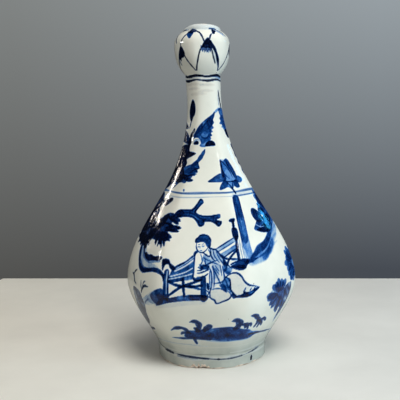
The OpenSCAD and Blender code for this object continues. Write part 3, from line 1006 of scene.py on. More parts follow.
    def robe(self) -> None:
        """Paints the robe over the shoulders and down to the knees, with its folds."""
        self.wash(
            MIST, 6, 106, 10, 105, 12.4, 102, 15, 98.8, 17, 95, 18.6, 91, 16, 88.6, 15, 82, 13, 78.6, 10, 77.4, 7.4, 74,
            5.6, 74, 5.4, 84, 3.6, 90, 0.6, 93, 0.8, 99, 4.6, 99.4, rim=0.1)
        self.wash(MIST, 5.6, 106, 9, 105, 9.6, 101, 9, 97, 6.6, 97, 6, 100.6, rim=0.1, streak=1)
        self.wash(MIST, 9.4, 104, 12, 102, 14.6, 98, 15.6, 94, 12, 96.6, 10, 99, rim=0.3, streak=1)
        self.wash(PALE, 0.8, 100.6, 3.4, 99.2, 6, 97.4, 8.4, 95.4, 5, 94, 2.4, 94.4, 0.6, 97, rim=0.3, streak=1)
        self.wash(DEEP, -1.4, 91.6, 0, 93.4, 3, 93, 5, 92.4, 4.4, 89.8, 1.4, 89.4, -1, 89.4, rim=0.2, streak=1)
        self.grey = 0.3
        self.wash(MIST, 7, 94, 10, 95, 12.4, 93, 12, 88, 11, 84, 9, 82.6, 8.6, 88, rim=0.1, streak=1)
        self.grey = 0.0
        self.wash(DEEP, 14.8, 97, 16.4, 95, 17.6, 92, 16.6, 88.4, 15, 88, 15, 92, rim=0.1, streak=0.8)
        self.lines(
            DARK, (1.3, 5.6, 106, 8, 105, 10.2, 104.6, 12.6, 101.6, 15, 98.2, 16.8, 95, 18.6, 92, 20.4, 90),
            (1.2, 0.4, 102.6, 2.6, 100.8, 5, 99.4, 6.2, 100.6), (1.1, 6.2, 105.4, 6.4, 101, 7.6, 98, 9.6, 95.6))
        self.lines(
            DEEP, (0.9, 8.2, 104, 9, 100, 10.8, 97, 12.4, 94.6), (0.9, 10.6, 103, 12, 99, 14, 95.4, 15.4, 92),
            (1.2, -1.4, 91.4, 2, 92.6, 5, 94.2, 8, 95.6, 11, 96.4), (0.9, 4, 93, 6.4, 94.6, 9, 94.4, 11.6, 93),
            (1.1, 4.8, 91.4, 6.4, 87, 6.6, 80, 6.2, 74), (1, 7, 92, 8.2, 87, 8.2, 80, 7.8, 75.4),
            (1.1, 7.6, 92.4, 9.2, 87, 11, 82, 12.6, 77.8), (1.1, 14.2, 92, 14.8, 87, 15, 82, 13.2, 78.4),
            (0.8, 9.2, 92.6, 10.4, 90.4, 12, 87.8), (0.8, 9, 90.4, 10.2, 88.2, 11.6, 85.6),
            (0.8, 12.6, 93, 13, 89, 13.4, 84.6), (0.8, 5.4, 88, 5, 82, 5.4, 76), (0.9, 2, 97, 2.2, 94.6, 3, 92),
            (1, 8, 78.6, 10.6, 79, 13, 79.6, 15.4, 82.6), (0.9, 1, 98.6, 3.4, 97, 6.4, 95.8))
        self.wash(SOFT, 11, 77.6, 14, 79, 15.6, 83.4, 18, 82, 18.7, 78, 17.6, 75, 16, 71, 14, 74, rim=0.3, streak=1)
        self.wash(DEEP, 11.6, 77, 14.6, 77.6, 16, 75, 15.8, 71.6, 13.6, 73.6, rim=0.1, streak=0.8)
        self.line(DARK, 1.2, 15.6, 83.4, 18, 82, 18.6, 78, 18, 75, 19.6, 71)
        self.line(DEEP, 1, 15.4, 82, 16.4, 78, 17.2, 74, 18.6, 71)
        self.wash(DEEP, 15, 89, 17.4, 91, 20.4, 90, 19.6, 87, 16.6, 85.6, rim=0.1, streak=0.9)

    def sleeve(self) -> None:
        """Paints the wide sleeve and the arm that rests on the fence."""
        self.wash(DARK, -4.4, 104, -6.4, 102.6, -6.6, 100, -5.4, 99.6, -4.6, 101.6, -3.4, 102.6)
        self.line(DARK, 1.2, -5.6, 101, -5.8, 95, -5.9, 88, -6, 82.4, -4, 81.2, -0.6, 82, ends=(0.8, 0.8))
        self.line(DEEP, 0.9, -1.2, 101, -0.2, 98, 0, 95.6, -1, 93.4, -2.4, 91.6)
        self.lines(
            DARK, (1.1, -3.4, 86.6, -1, 87, 1.6, 88, 4.4, 89.4), (1, -3.6, 83.4, -1, 83.6, 2, 84.6, 4, 86.2),
            ends=(0.5, 0.9))
        self.lines(
            DARK, (0.9, -2, 93.6, -0.8, 91.8, 0.8, 90.6), (0.9, -2.9, 91.2, -1.2, 90.4, 0.6, 89.8),
            (0.9, -3.4, 88.8, -1.4, 88.8, 0, 89.2), ends=(0.3, 0.9))
        self.wash(DEEP, 3.2, 79, 4.6, 78.4, 5, 75.6, 4.6, 73.4, 3.4, 74.4, 3, 76.6, rim=0.2, streak=0.6)
        self.wash(DEEP, -5.8, 83.4, -4.4, 83, -1, 82.6, -1, 80.8, -4, 80.4, -5.8, 81, rim=0.1)

    def skirts(self) -> None:
        """Paints the white lap and the train that spreads to the right."""
        self.grey = 0.6
        self.wash(MIST, 6, 74, 5, 69.6, 8, 65.6, 10, 62.6, 17, 65.8, 18.4, 70, 15, 74)
        self.wash(MIST, 18, 83, 20, 86, 24, 86, 27.4, 80, 31, 76, 36, 74, 30, 69.6, 21, 68)
        self.grey = 0.0
        self.lines(
            DARK, (1.2, 5.8, 75.4, 5, 70.4, 5.6, 67, 8, 65, 9.4, 62.2, 13.4, 63.8, 17.6, 66.2, 18.6, 69.6, 16.6, 72.4),
            (0.9, 2.6, 73.4, 4.4, 71.4, 3.6, 68.6, 6.4, 66.4))
        self.line(DEEP, 0.9, 7, 74, 9.6, 74.6, 13, 74, 15.4, 71.6)
        self.line(DARK, 1.3, 15.6, 83.2, 19.2, 86, 23.2, 86.4, 26, 83.6, 27.6, 79.6, 30.4, 76.4, 34.4, 75, 38.8, 73)
        self.wash(
            DEEP, 38.8, 73.2, 35, 73, 31.6, 71.4, 28, 71, 26.6, 72.4, 26, 69.6, 22, 68.2, 26.4, 67, 31, 67.8, 35, 70.6,
            rim=0.4, streak=0.9)
        self.line(DARK, 1.2, 38.6, 72.8, 34.6, 70.4, 30.6, 67.8, 26.4, 67, 22, 67.2, ends=(0.6, 0.8))
        self.line(DARK, 1.4, 18.6, 78, 18.4, 74, 20, 70.4, 22, 67.6)
        self.wash(DARK, 18.8, 69.6, 21, 70, 22.4, 67.4, 20, 66.2)
        self.lines(DEEP, (0.9, 28, 74.4, 27, 72), (0.9, 32, 73.6, 30.6, 71.6), (0.9, 35, 73.8, 33.6, 72.2))

    def hair(self) -> None:
        """Paints the dark hair, drawn up in a low knot."""
        self.wash(
            DEEP, -6.2, 110.4, -6, 113, -4, 114.2, -3, 115.8, 0.4, 116.4, 4.4, 115.6, 7, 112.6, 6.8, 109.4, 5.8, 105.2,
            4.6, 106, 2.8, 108, 2, 109.8, -0.8, 110.6, -4, 110, rim=0.6, streak=0.8)
        self.wash(SOFT, -6, 112.6, -2, 112, 2.4, 110.8, 4.6, 107.6, 5.6, 105.6, 6.8, 109, 5, 112, 0, 113.6, streak=0.6)
        self.line(DARK, 1, -5.4, 112.8, -2.4, 115.2, 1, 116, 5, 114.6, 6.8, 111.6)

    def face(self) -> None:
        """Paints a calm, plain face that is bowed to the left, with a few short strokes."""
        self.line(DARK, 0.9, -4.8, 110, -5, 107, -4, 104.4, -1.8, 102.6, 0.6, 102.6, 3, 104.4, 4.4, 106.4)
        for left, up in ((-3.8, 106.9), (-0.4, 107.3)):
            self.line(MID, 0.5, left, up + 1.3, left + 1.0, up + 1.7, left + 1.9, up + 1.4, ends=(0.8, 0.6))
            self.line(DEEP, 0.65, left + 0.1, up, left + 0.9, up - 0.2, left + 1.7, up + 0.1, ends=(0.8, 0.8))
        self.line(SOFT, 0.5, -1.6, 107, -2, 105.6, -1.3, 105.3)
        self.line(MID, 0.6, -1.9, 104.1, -1, 103.9, -0.3, 104.2, ends=(0.8, 0.8))

    def leaf_cluster(self) -> None:
        """Paints the cluster of broad leaves low on the right."""
        # Painted reflection: the grey in these washes partly stands in for the haze of light mirrored in the glaze.
        self.grey = 0.2
        self.wash(PALE, 48, 62, 53, 67.6, 62, 72, 70, 69, 72, 62, 70, 51, 62, 49, 54, 53, streak=0.9)
        self.wash(MID, 59, 61, 62, 66, 68, 66, 72, 62, 70, 55, 64, 56, streak=0.5)
        self.fan(
            MID, 6.4, 63, 62, 46.6, 63, 47.6, 60.4, 53, 69.6, 58, 71.6, 61.4, 74, 66, 72.6, 71.6, 71.4, 51.4, 54.6,
            55, 51, 62, 47, 65, 44.6, 70, 49)
        self.grey = 0.4
        self.wash(MID, 70, 66, 79, 68, 79, 58, 76, 48, 71, 36, 69, 36, 69, 46, 69, 56, rim=0.1, streak=0.9)
        self.line(MID, 1.6, 79, 68, 77.6, 58, 75.4, 48, 70.6, 33.6)

    def edge_leaves(self) -> None:
        """Paints the leaves that climb the right edge."""
        self.wash(SOFT, 79, 91, 86, 95, 96, 94, 101, 88, 101, 79, 95, 72, 84, 72, 78, 79, streak=0.8)
        self.fan(
            MID, 5.8, 88, 83, 74, 84.4, 78, 89, 79.4, 95, 84, 97.4, 91, 98, 98, 96, 104, 91, 106, 84, 104, 77, 98, 71,
            91, 68.6, 84, 68.6, 78.6, 70.6, 77, 74.6, 76, 79.4)
        self.line(SOFT, 2.2, 79, 76, 80.6, 71, 84, 68)

    def ground(self) -> None:
        """Paints the strip of dark ground under the scene, with its grasses."""
        self.edge, self.grey = 1.3, 0.35
        self.line(DEEP, 2.6, -30, 28, -20, 28.4, -8, 28.8, 4, 28, ends=(0.1, 1))
        self.wash(PALE, -20, 31, 0, 31, 20, 30, 42, 31, 44, 27, 38, 24.8, 26, 25, 8, 25, -4, 27.6)
        self.grey = 0.0
        self.wash(
            DEEP, -17, 30, -14, 36, -9, 37, -4, 37, 0, 39, 6, 39, 12, 39.8, 20, 40.2, 25, 39, 30, 37, 36, 35.6,
            41, 32.6, 51, 29.8, 44, 27.6, 38, 26, 28, 26, 18, 25.6, 8, 27, -4, 29, streak=0.9)
        self.edge = 0.8
        self.wash(SOFT, -15, 35, -6, 37, 2, 38, 5, 33, 2, 29.4, -8, 29.6, -15, 31, streak=0.8)
        self.wash(SOFT, 4, 33, 8, 37, 20, 38, 30, 35, 40, 30, 38, 27.4, 26, 27, 12, 27.6, streak=0.9)
        self.grey = 0.45
        self.line(DEEP, 2, 38, 30.4, 48, 29.4, 60, 27.8, 74, 26, ends=(1, 0.3))
        self.lines(PALE, (1.8, 70, 26.6, 84, 23.6, 98, 21.2), (1.5, 76, 23, 88, 20.4, 98, 18.8))
        self.grey = 0.25
        for width, *at in (
            (3.6, -27.4, 35.6, -23, 38.2, -18, 39.2, -14.6, 37.4, -12, 34), (3, -20, 32.2, -17, 34.4, -13, 34.6),
            (5, -10.4, 45, -6.4, 45.8, -4, 43.4, -4, 40, -6, 36), (3, -8, 40, -6, 38, -4, 36),
            (5, 5.6, 41.4, 3, 40.4, 0, 37), (2.6, -10, 31, -9, 26.6, -8, 23.4),
            (5.6, 20.4, 45.6, 23.6, 46.4, 26, 44, 25.6, 40.6, 24, 37.6), (2.8, 27, 42, 30.6, 41, 31.6, 38.2),
            (2.8, 29.6, 43, 33, 41, 34, 37), (2.4, 32.6, 42.4, 35.8, 41, 36.8, 38.6),
            (4.4, 33.8, 49.2, 38, 48.2, 42, 44.8, 46, 41.4), (3, 41.4, 44, 42.6, 40.4, 41, 37),
            (3.2, 43.6, 43, 46, 39.6, 45, 36), (3, 46, 42, 48.6, 39.2, 49.6, 36.6),
            (3.4, 45, 42.6, 50, 42.6, 53.4, 40.2),
        ):
            self.line(DEEP, width, *at, ends=(0.15, 0.7))
            self.line(SOFT, width * 0.4, *at, ends=(0.15, 0.7))


@dataclass
class FootPainting(Brush):
    """Lines round the foot, strong in places and worn thin in others."""

    line_height: float = 9.6

    def paint_foot(self) -> None:
        """Paints the lines and a spot of cobalt that fell on the foot."""
        self.edge, self.grey = 1.1, 0.95
        self.ring(PALE, 1.3, self.line_height, 0.6, 0.8)
        self.line(SOFT, 1.1, -54, 11.2, -38, 10.9, -20, 10.2, 0, 9, 16, 8.3, 30, 8.6, 46, 10.2, 64, 12)
        self.line(DEEP, 2.2, -53, 11.2, -46, 11.2, -38.6, 10.8, ends=(0.3, 0.9))
        self.grey = 0.8
        self.line(DEEP, 2, -32, 10.6, -22, 10.2, -10, 9.6, 2, 8.8, ends=(0.5, 0.7))
        self.line(PALE, 2.6, -32, 8.8, -20, 8.4, -6, 7.6)
        self.grey = 0.95
        self.line(SOFT, 1.6, 4, 8.4, 16, 8.2, 26, 8.4, 37, 9.4, ends=(0.4, 1))
        self.line(DEEP, 1.6, 11.4, 8.4, 13, 8.3)
        self.line(MID, 1.5, 46, 10.4, 56, 11.2, 64, 12)
        self.line(DEEP, 1.6, 150, 10.4, 175, 10, 200, 9.4)
        self.line(BLACK, 2.4, 50.8, 6.6, 50.4, 3.6, ends=(0.6, 1))
        self.line(PALE, 1, -88, 14.4, -66, 14, -46, 13.8, -24, 13.6, ends=(1, 0.2))
        self.line(PALE, 1, 24, 13.6, 46, 13.8, 66, 14, 88, 14.4, ends=(0.2, 1))
        self.ring(MIST, 1.1, 19.6, 0.3, 0.8)


@dataclass
class VasePainting(HeadPainting, NeckPainting, GardenPainting, FootPainting):
    """The whole painting, laid on with one brush."""

    def paint(self) -> None:
        """Paints the vase from the head down, and reports each part."""
        for part in (self.paint_head, self.paint_neck, self.paint_garden, self.paint_foot):
            self.motifs(part)
            LOG.info("%s: %d strokes so far", part.__name__, self.strokes)


class Graph:
    """Adds nodes to one node tree and joins them."""

    def __init__(self, tree: bpy.types.NodeTree) -> None:
        """Takes up a node tree."""
        self.nodes, self.links = tree.nodes, tree.links

    def add(self, kind: str, inputs: dict[str | int, Value] | None = None, **settings: str | bool) -> bpy.types.Node:
        """Adds a node.

        Args:
            kind: Blender's name of the node.
            inputs: Socket name or number to a value or to another node's output.
            settings: Properties of the node.

        Returns:
            The node.
        """
        node = self.nodes.new(kind)
        for key, value in settings.items():
            setattr(node, key, value)
        for key, value in (inputs or {}).items():
            self.feed(node.inputs[key], value)
        return node

    def feed(self, socket: bpy.types.NodeSocket, value: Value) -> None:
        """Joins an output to a socket, or sets the socket's value.

        Args:
            socket: Socket of a node.
            value: Output of another node, a number or a colour.
        """
        if isinstance(value, bpy.types.NodeSocket):
            self.links.new(value, socket)
        else:
            socket.default_value = (*value, 1.0) if isinstance(value, tuple) else value

    def math(self, operation: str, a: Value, b: Value, clamp: bool = False) -> bpy.types.NodeSocket:
        """Returns the result of a sum, product or comparison."""
        return self.add("ShaderNodeMath", {0: a, 1: b}, operation=operation, use_clamp=clamp).outputs[0]

    def spread(self, value: Value, low: float, high: float, start: float, end: float) -> bpy.types.NodeSocket:
        """Returns a value moved from low..high to start..end, and held to it."""
        return self.add("ShaderNodeMapRange", {0: value, 1: low, 2: high, 3: start, 4: end}).outputs[0]

    def mix(self, share: Value, a: Value, b: Value, blend: str = "MIX") -> bpy.types.NodeSocket:
        """Returns a colour between two others, or another blend of them."""
        return self.add("ShaderNodeMix", {0: share, 6: a, 7: b}, data_type="RGBA", blend_type=blend).outputs[2]


class MaterialGraph(Graph):
    """The nodes of a new material that has a principled shader."""

    def __init__(self, name: str) -> None:
        """Starts the material.

        Args:
            name: Name of the material.
        """
        self.material = bpy.data.materials.new(name)
        self.material.use_nodes = True
        super().__init__(self.material.node_tree)
        self.shader = self.nodes["Principled BSDF"]
        self.places = self.add("ShaderNodeTexCoord").outputs["Object"]

    def surface(self, **sockets: Value) -> None:
        """Feeds the shader's sockets, given by name with _ for a space."""
        for name, value in sockets.items():
            self.feed(self.shader.inputs[name.replace("_", " ")], value)

    def noise(self, per_metre: float, detail: float) -> bpy.types.NodeSocket:
        """Returns noise with so many cells per metre."""
        inputs = {"Vector": self.places, "Scale": per_metre, "Detail": detail, "Roughness": 0.55}
        return self.add("ShaderNodeTexNoise", inputs).outputs["Fac"]

    def attribute(self, name: str) -> bpy.types.NodeSocket:
        """Returns a number stored on the mesh."""
        return self.add("ShaderNodeAttribute", attribute_name=name).outputs["Fac"]

    def bump(self, strength: float, distance: float, height: Value) -> bpy.types.NodeSocket:
        """Returns a normal that is bent by so many metres of relief."""
        inputs = {"Strength": strength, "Distance": distance, "Height": height}
        return self.add("ShaderNodeBump", inputs).outputs[0]

    def ramp(self, value: Value, stops: Stops) -> bpy.types.NodeSocket:
        """Looks a colour up.

        Args:
            value: Place along the stops.
            stops: Places from 0 to 1, each with its colour.

        Returns:
            The colour at that place.
        """
        node = self.add("ShaderNodeValToRGB", {0: value})
        elements = node.color_ramp.elements
        while len(elements) < len(stops):
            elements.new(0.5)
        for element, (place, colour) in zip(elements, stops):
            element.position, element.color = place, (*colour, 1.0)
        return node.outputs["Color"]


@dataclass(frozen=True)
class GlazeFinish:
    """Clear bluish glaze over cobalt painting, with specks, pits and a soft orange-peel skin.

    Towards the foot it carries painted shade, partly pooled glaze, which darkens and greys it.
    """

    name: str = "blue_and_white_glaze"
    white: Colour = (0.83, 0.83, 0.76)
    shade: Colour = (0.75, 0.76, 0.69)
    pooled_glaze_and_shade: Colour = (0.33, 0.36, 0.33)
    clay: Colour = (0.80, 0.66, 0.55)
    burnt: Colour = (0.30, 0.17, 0.09)
    speck: Colour = (0.10, 0.07, 0.05)
    cobalt: Stops = (
        (0.00, (0.70, 0.74, 0.74)),
        (0.10, (0.50, 0.60, 0.68)),
        (0.22, (0.22, 0.38, 0.61)),
        (0.36, (0.055, 0.19, 0.50)),
        (0.50, (0.012, 0.080, 0.30)),
        (0.64, (0.004, 0.036, 0.165)),
        (0.78, (0.0015, 0.015, 0.090)),
        (0.90, (0.0006, 0.005, 0.036)),
        (0.98, (0.0004, 0.002, 0.010)),
    )
    iron: Stops = (
        (0.00, (0.74, 0.72, 0.66)),
        (0.04, (0.66, 0.62, 0.54)),
        (0.10, (0.53, 0.56, 0.55)),
        (0.22, (0.32, 0.35, 0.37)),
        (0.36, (0.15, 0.17, 0.195)),
        (0.50, (0.065, 0.078, 0.10)),
        (0.64, (0.026, 0.034, 0.052)),
        (0.78, (0.009, 0.013, 0.024)),
        (0.90, (0.003, 0.0045, 0.010)),
        (0.98, (0.001, 0.0015, 0.004)),
    )
    thin_cobalt: float = 0.12
    specks_per_metre: float = 95.0
    speck_size: Pair = (0.035, 0.06)
    speck_rarity: float = 0.86
    speck_strength: float = 0.75
    gloss_roughness: Pair = (0.04, 0.12)
    bare_roughness: float = 0.75
    skin_depth: float = 0.0008
    refraction: float = 1.45

    def material(self) -> bpy.types.Material:
        """Builds the material.

        Returns:
            A material that reads the attributes cobalt, grey, pool and bare of the mesh; pool carries painted shade
            towards the foot, partly pooled glaze.
        """
        graph = MaterialGraph(self.name)
        bare = graph.attribute("bare")
        sheen = graph.spread(graph.noise(60, 2), 0.3, 0.7, *self.gloss_roughness)
        skin = graph.math("ADD", graph.math("MULTIPLY", graph.noise(230, 3), 0.2), graph.noise(75, 2))
        pits = graph.math("MULTIPLY", graph.noise(1500, 3), graph.math("MULTIPLY", bare, 2.0))
        earth = graph.mix(graph.spread(graph.noise(260, 5), 0.47, 0.62, 0, 1), self.clay, self.burnt)
        graph.surface(
            Base_Color=graph.mix(bare, self.specked(graph, self.painted(graph)), earth),
            Roughness=graph.add("ShaderNodeMix", {0: bare, 2: sheen, 3: self.bare_roughness}).outputs[0],
            Normal=graph.bump(0.4, self.skin_depth, graph.math("ADD", skin, pits)),
            IOR=self.refraction,
        )
        return graph.material

    def painted(self, graph: MaterialGraph) -> bpy.types.NodeSocket:
        """Lays the cobalt under the glaze.

        Args:
            graph: Nodes of the material.

        Returns:
            The colour of the painted glaze.
        """
        mottle = graph.spread(graph.noise(900, 4), 0.3, 0.7, 0.8, 1.16)
        pigment = graph.math("MULTIPLY", graph.attribute("cobalt"), mottle, clamp=True)
        glaze = graph.mix(graph.spread(graph.noise(28, 4), 0.35, 0.7, 0, 1), self.white, self.shade)
        uneven = graph.spread(graph.noise(45, 3), 0.3, 0.7, 0.55, 1.0)
        # Painted shade: the glaze darkens and greys towards the foot, partly as glaze pooled thick there.
        glaze = graph.mix(graph.math("MULTIPLY", graph.attribute("pool"), uneven), glaze, self.pooled_glaze_and_shade)
        blue, grey = graph.ramp(pigment, self.cobalt), graph.ramp(pigment, self.iron)
        ink = graph.mix(graph.attribute("grey"), blue, grey)
        return graph.mix(graph.spread(pigment, 0, self.thin_cobalt, 0, 1), glaze, ink)

    def specked(self, graph: MaterialGraph, glaze: bpy.types.NodeSocket) -> bpy.types.NodeSocket:
        """Scatters small dark specks over the glaze.

        Args:
            graph: Nodes of the material.
            glaze: Colour under the specks.

        Returns:
            The colour with the specks.
        """
        inputs = {"Vector": graph.places, "Scale": self.specks_per_metre}
        dots = graph.add("ShaderNodeTexVoronoi", inputs).outputs
        near = graph.spread(dots["Distance"], *self.speck_size, 1, 0)
        draw = graph.add("ShaderNodeSeparateColor", {0: dots["Color"]}).outputs[0]
        chosen = graph.math("MULTIPLY", near, graph.math("GREATER_THAN", draw, self.speck_rarity))
        return graph.mix(graph.math("MULTIPLY", chosen, self.speck_strength), glaze, self.speck)


@dataclass(frozen=True)
class SlipFinish:
    """Matt, gritty slip that was squeezed out of a seam and wiped."""

    name: str = "dry_slip"
    pale: Colour = (0.60, 0.55, 0.46)
    dark: Colour = (0.40, 0.33, 0.24)
    roughness: float = 0.7
    grit_depth: float = 0.0004

    def material(self) -> bpy.types.Material:
        """Builds the material.

        Returns:
            The material.
        """
        graph = MaterialGraph(self.name)
        grit = graph.noise(320, 5)
        colour, relief = graph.mix(grit, self.pale, self.dark), graph.bump(0.5, self.grit_depth, grit)
        graph.surface(Base_Color=colour, Roughness=self.roughness, Normal=relief)
        return graph.material


def lathe_mesh(
    name: str, rings: np.ndarray, looped: bool, face_rows: int, sharp: float = 50.0
) -> bpy.types.Object:
    """Joins rings of points into a closed mesh with a map of its own for baking.

    Args:
        name: Name of the object.
        rings: Points by ring, column and coordinate, in metres.
        looped: Whether the last ring joins the first. Otherwise both ends close on the axis.
        face_rows: Number of rings at the start that show most and get most of the map.
        sharp: Angle in degrees from which an edge is shaded sharp.

    Returns:
        The object, smooth shaded and sharp at its corners.
    """
    count, columns = rings.shape[:2]
    points = rings.reshape(-1, 3)
    row, column = np.mgrid[: count if looped else count - 1, :columns].reshape(2, -1, 1)
    rows, around = row + [0, 0, 1, 1], column + [0, 1, 1, 0]
    faces = (rows % count * columns + around % columns).tolist()
    u = np.linspace(0.01, 0.99, columns + 1)
    v = np.append(np.linspace(0.01, 0.84, face_rows), np.linspace(0.86, 0.99, count - face_rows + 1))
    places = [np.stack([u[around], v[rows]], axis=-1)]
    if not looped:
        points = np.concatenate([points, rings[[0, -1]].mean(axis=1)])
        here = np.arange(columns)
        ends = ((0, here + 1, here, 0.005), (count - 1, here, here + 1, 0.995))
        for tip, (ring, left, right, axis) in enumerate(ends, count * columns):
            start = ring * columns
            fan = [np.full(columns, tip), start + left % columns, start + right % columns]
            faces += np.stack(fan, axis=1).tolist()
            along = np.stack([(u[left] + u[right]) / 2, u[left], u[right]], axis=1)
            places.append(np.stack([along, np.tile([axis, v[ring], v[ring]], (columns, 1))], axis=-1))
    mesh = bpy.data.meshes.new(name)
    mesh.from_pydata(points.tolist(), [], faces)
    flat = np.concatenate([corners.ravel() for corners in places]).astype(np.float32)
    mesh.uv_layers.new(name="OFBake").data.foreach_set("uv", flat)
    mesh.polygons.foreach_set("use_smooth", np.ones(len(mesh.polygons), bool))
    mesh.set_sharp_from_angle(angle=math.radians(sharp))
    mesh.update()
    piece = bpy.data.objects.new(name, mesh)
    bpy.context.scene.collection.objects.link(piece)
    return piece


def store(piece: bpy.types.Object, name: str, values: np.ndarray) -> None:
    """Stores one number per point of a piece's mesh.

    Args:
        piece: The piece.
        name: Name of the attribute.
        values: Numbers of the first points. The rest get 0.
    """
    full = np.zeros(len(piece.data.vertices), np.float32)
    full[: values.size] = values.ravel()
    piece.data.attributes.new(name, "FLOAT", "POINT").data.foreach_set("value", full)


@dataclass
class Section:
    """One luted section of the vase: a dense painted outside on a plain, closed wall.

    It stands for a CAD node. It lies between the joints at low and
    high, and its outside has so many rows and columns of points.
    """

    form: VaseForm
    node: str
    slot: str
    low: float
    high: float
    wall: float
    rows: int
    columns: int
    skin: float = 1.0
    half_slip: float = 0.3
    # Painted shade, partly pooled glaze: the glaze darkens towards the foot, fading out up to this height over this
    # span.
    shade_pool_height: float = 42.0
    shade_pool_fade: float = 34.0
    inner_rows: int = 12
    looped: bool = True

    def __post_init__(self) -> None:
        """Lays out the grid of the outside and its canvas."""
        self.azimuths = crowded_azimuths(self.columns)
        self.around = np.radians(self.azimuths)[None, :]
        self.heights = self.outside()
        self.canvas = Canvas(self.form, self.heights, self.azimuths)

    def outside(self) -> np.ndarray:
        """Returns the heights of the rings on the outside, from the bottom up."""
        return self.form.even_heights(self.low, self.high, self.rows)

    def wall_ring(self, height: float, inset: float = 0.0) -> Ring:
        """Returns the ring at a height, on the outside or set in from it."""
        radius, flat = float(self.form.ridge(height)), float(self.form.flat(height))
        return height, radius - inset, (radius * flat - inset) / (radius - inset)

    def inside(self, high: float, low: float) -> list[Ring]:
        """Returns the rings down the inner wall between two heights."""
        return [self.wall_ring(z, self.wall) for z in np.linspace(high, low, self.inner_rows)]

    def upper_lap(self) -> list[Ring]:
        """Returns the rings that turn the skin in at the joint above."""
        return [self.wall_ring(z, self.skin) for z in (self.high, self.high - self.half_slip)]

    def lower_lap(self) -> list[Ring]:
        """Returns the rings that turn the skin in at the joint below."""
        return [self.wall_ring(z, self.skin) for z in (self.low + self.half_slip, self.low)]

    def back(self) -> list[Ring]:
        """Returns the rings that close the wall: the top joint, the inside and the bottom joint."""
        inside = self.inside(self.high - self.half_slip, self.low + self.half_slip)
        return [*self.upper_lap(), *inside, *self.lower_lap()]

    def shape(self, rings: np.ndarray) -> np.ndarray:
        """Returns the rings with the section's own small damage worked in."""
        return rings

    def bare(self, height: np.ndarray) -> np.ndarray:
        """Returns how bare of glaze each point is, from 0 to 1."""
        return np.zeros_like(height)

    def pigment(self, height: np.ndarray) -> np.ndarray:
        """Spreads the painting over the whole piece.

        Args:
            height: Height of each point.

        Returns:
            The cobalt at each point, which lies on the outside only.
        """
        full = np.zeros_like(height)
        full[: len(self.heights)] = self.canvas.ink
        return full

    def build(self, glaze: bpy.types.Material) -> bpy.types.Object:
        """Builds the piece, stores its painting and puts it in place of its CAD node.

        Args:
            glaze: Material of the section.

        Returns:
            The piece.
        """
        front = [self.wall_ring(z) for z in self.heights]
        rings = np.stack([self.form.ring(self.azimuths, *ring) for ring in [*front, *self.back()]])
        rings = self.shape(rings)
        height = rings[..., 2] / MM
        piece = lathe_mesh(f"painted_{self.node}", rings, self.looped, len(front))
        store(piece, "cobalt", self.pigment(height))
        store(piece, "grey", self.canvas.grey)
        store(piece, "bare", self.bare(height))
        # Painted shade towards the foot, partly pooled glaze.
        store(piece, "pool", ease((self.shade_pool_height - height) / self.shade_pool_fade))
        piece.data.materials.append(glaze)
        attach(piece, BODY)
        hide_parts(self.node)
        return piece


@dataclass
class LowerBody(Section):
    """The bowl of the body, with its floor."""

    floor: float = 6.0
    cove: float = 7.0
    cove_start: float = 12.0
    cove_rows: int = 6
    looped: bool = False

    def back(self) -> list[Ring]:
        """Closes the wall over the floor.

        Returns:
            The rings from the belly joint down the inside to the middle of the floor.
        """
        floor_z, flat = self.low + self.half_slip + self.floor, self.form.round_flat
        inside = self.inside(self.high - self.half_slip, floor_z + self.cove)
        edge = inside[-1][1] - self.cove
        turn = np.radians(np.linspace(self.cove_start, 90, self.cove_rows))
        cove = [(floor_z + self.cove * (1 - math.sin(a)), edge + self.cove * math.cos(a), flat) for a in turn]
        plate = [(floor_z, edge * share, flat) for share in (0.75, 0.5, 0.25)]
        return [*self.upper_lap(), *inside, *cove, *plate]


@dataclass
class GarlicHead(Section):
    """The bulb, with its rounded lip and the mouth."""

    lip_rows: int = 14
    lip_wall: float = 0.6
    lip_root: float = 1.5
    lip_blend: float = 1.0
    lip_rise: float = 0.7
    lip_wear: float = 1.5
    wear_bias: float = 0.35
    lip_tint: float = 0.07
    tint_fade: float = 1.2
    crest_wear: float = 0.35
    crest_depth: float = 0.9
    crest_fade: float = 0.8
    worn_from: float = 0.35
    worn_fade: float = 0.3

    def outside(self) -> np.ndarray:
        """Returns the heights up the bulb and up the lip's wall, to where the lip starts to round."""
        return self.form.even_heights(self.low, self.form.lip_height + self.lip_wall, self.rows)

    def back(self) -> list[Ring]:
        """Closes the wall over the lip.

        Returns:
            The rings over the lip, down the mouth and down the inside of the bulb.
        """
        form, foot = self.form, self.form.lip_height + self.lip_wall
        half = (form.lip_radius - form.mouth_radius) / 2
        middle, rise = form.lip_radius - half, form.top - foot
        turn = np.linspace(0, math.pi, self.lip_rows)[1:]
        lip = [(foot + rise * math.sin(a), middle + half * math.cos(a), form.round_flat) for a in turn]
        inside = self.inside(form.lip_height - self.lip_root, self.low + self.half_slip)
        return [*lip, *inside, *self.lower_lap()]

    def shape(self, rings: np.ndarray) -> np.ndarray:
        """Makes the lip a little higher in front and worn down at both sides.

        Args:
            rings: Points of the piece, in metres.

        Returns:
            The points with the uneven lip.
        """
        start = self.form.lip_height - self.lip_blend
        share = ease((rings[..., 2] / MM - start) / (self.form.top - start))
        worn = self.lip_wear * np.sin(self.around) ** 2 * (1 - self.wear_bias * np.sin(self.around))
        uneven = rings.copy()
        uneven[..., 2] += share * (self.lip_rise * np.cos(self.around) - worn) * MM
        return uneven

    def pigment(self, height: np.ndarray) -> np.ndarray:
        """Returns the cobalt, with a breath of blue in the glaze on the lip."""
        lip = self.lip_tint * ease((height - self.form.lip_height + self.tint_fade) / self.tint_fade)
        return np.maximum(super().pigment(height), lip)

    def bare(self, height: np.ndarray) -> np.ndarray:
        """Returns a faint worn tint on the crest of the lip."""
        worn = cloud(np.broadcast_to(self.azimuths, height.shape) / 9, height / 2, 3.0)
        crest = ease((height - self.form.top + self.crest_depth) / self.crest_fade)
        return self.crest_wear * crest * ease((worn - self.worn_from) / self.worn_fade)


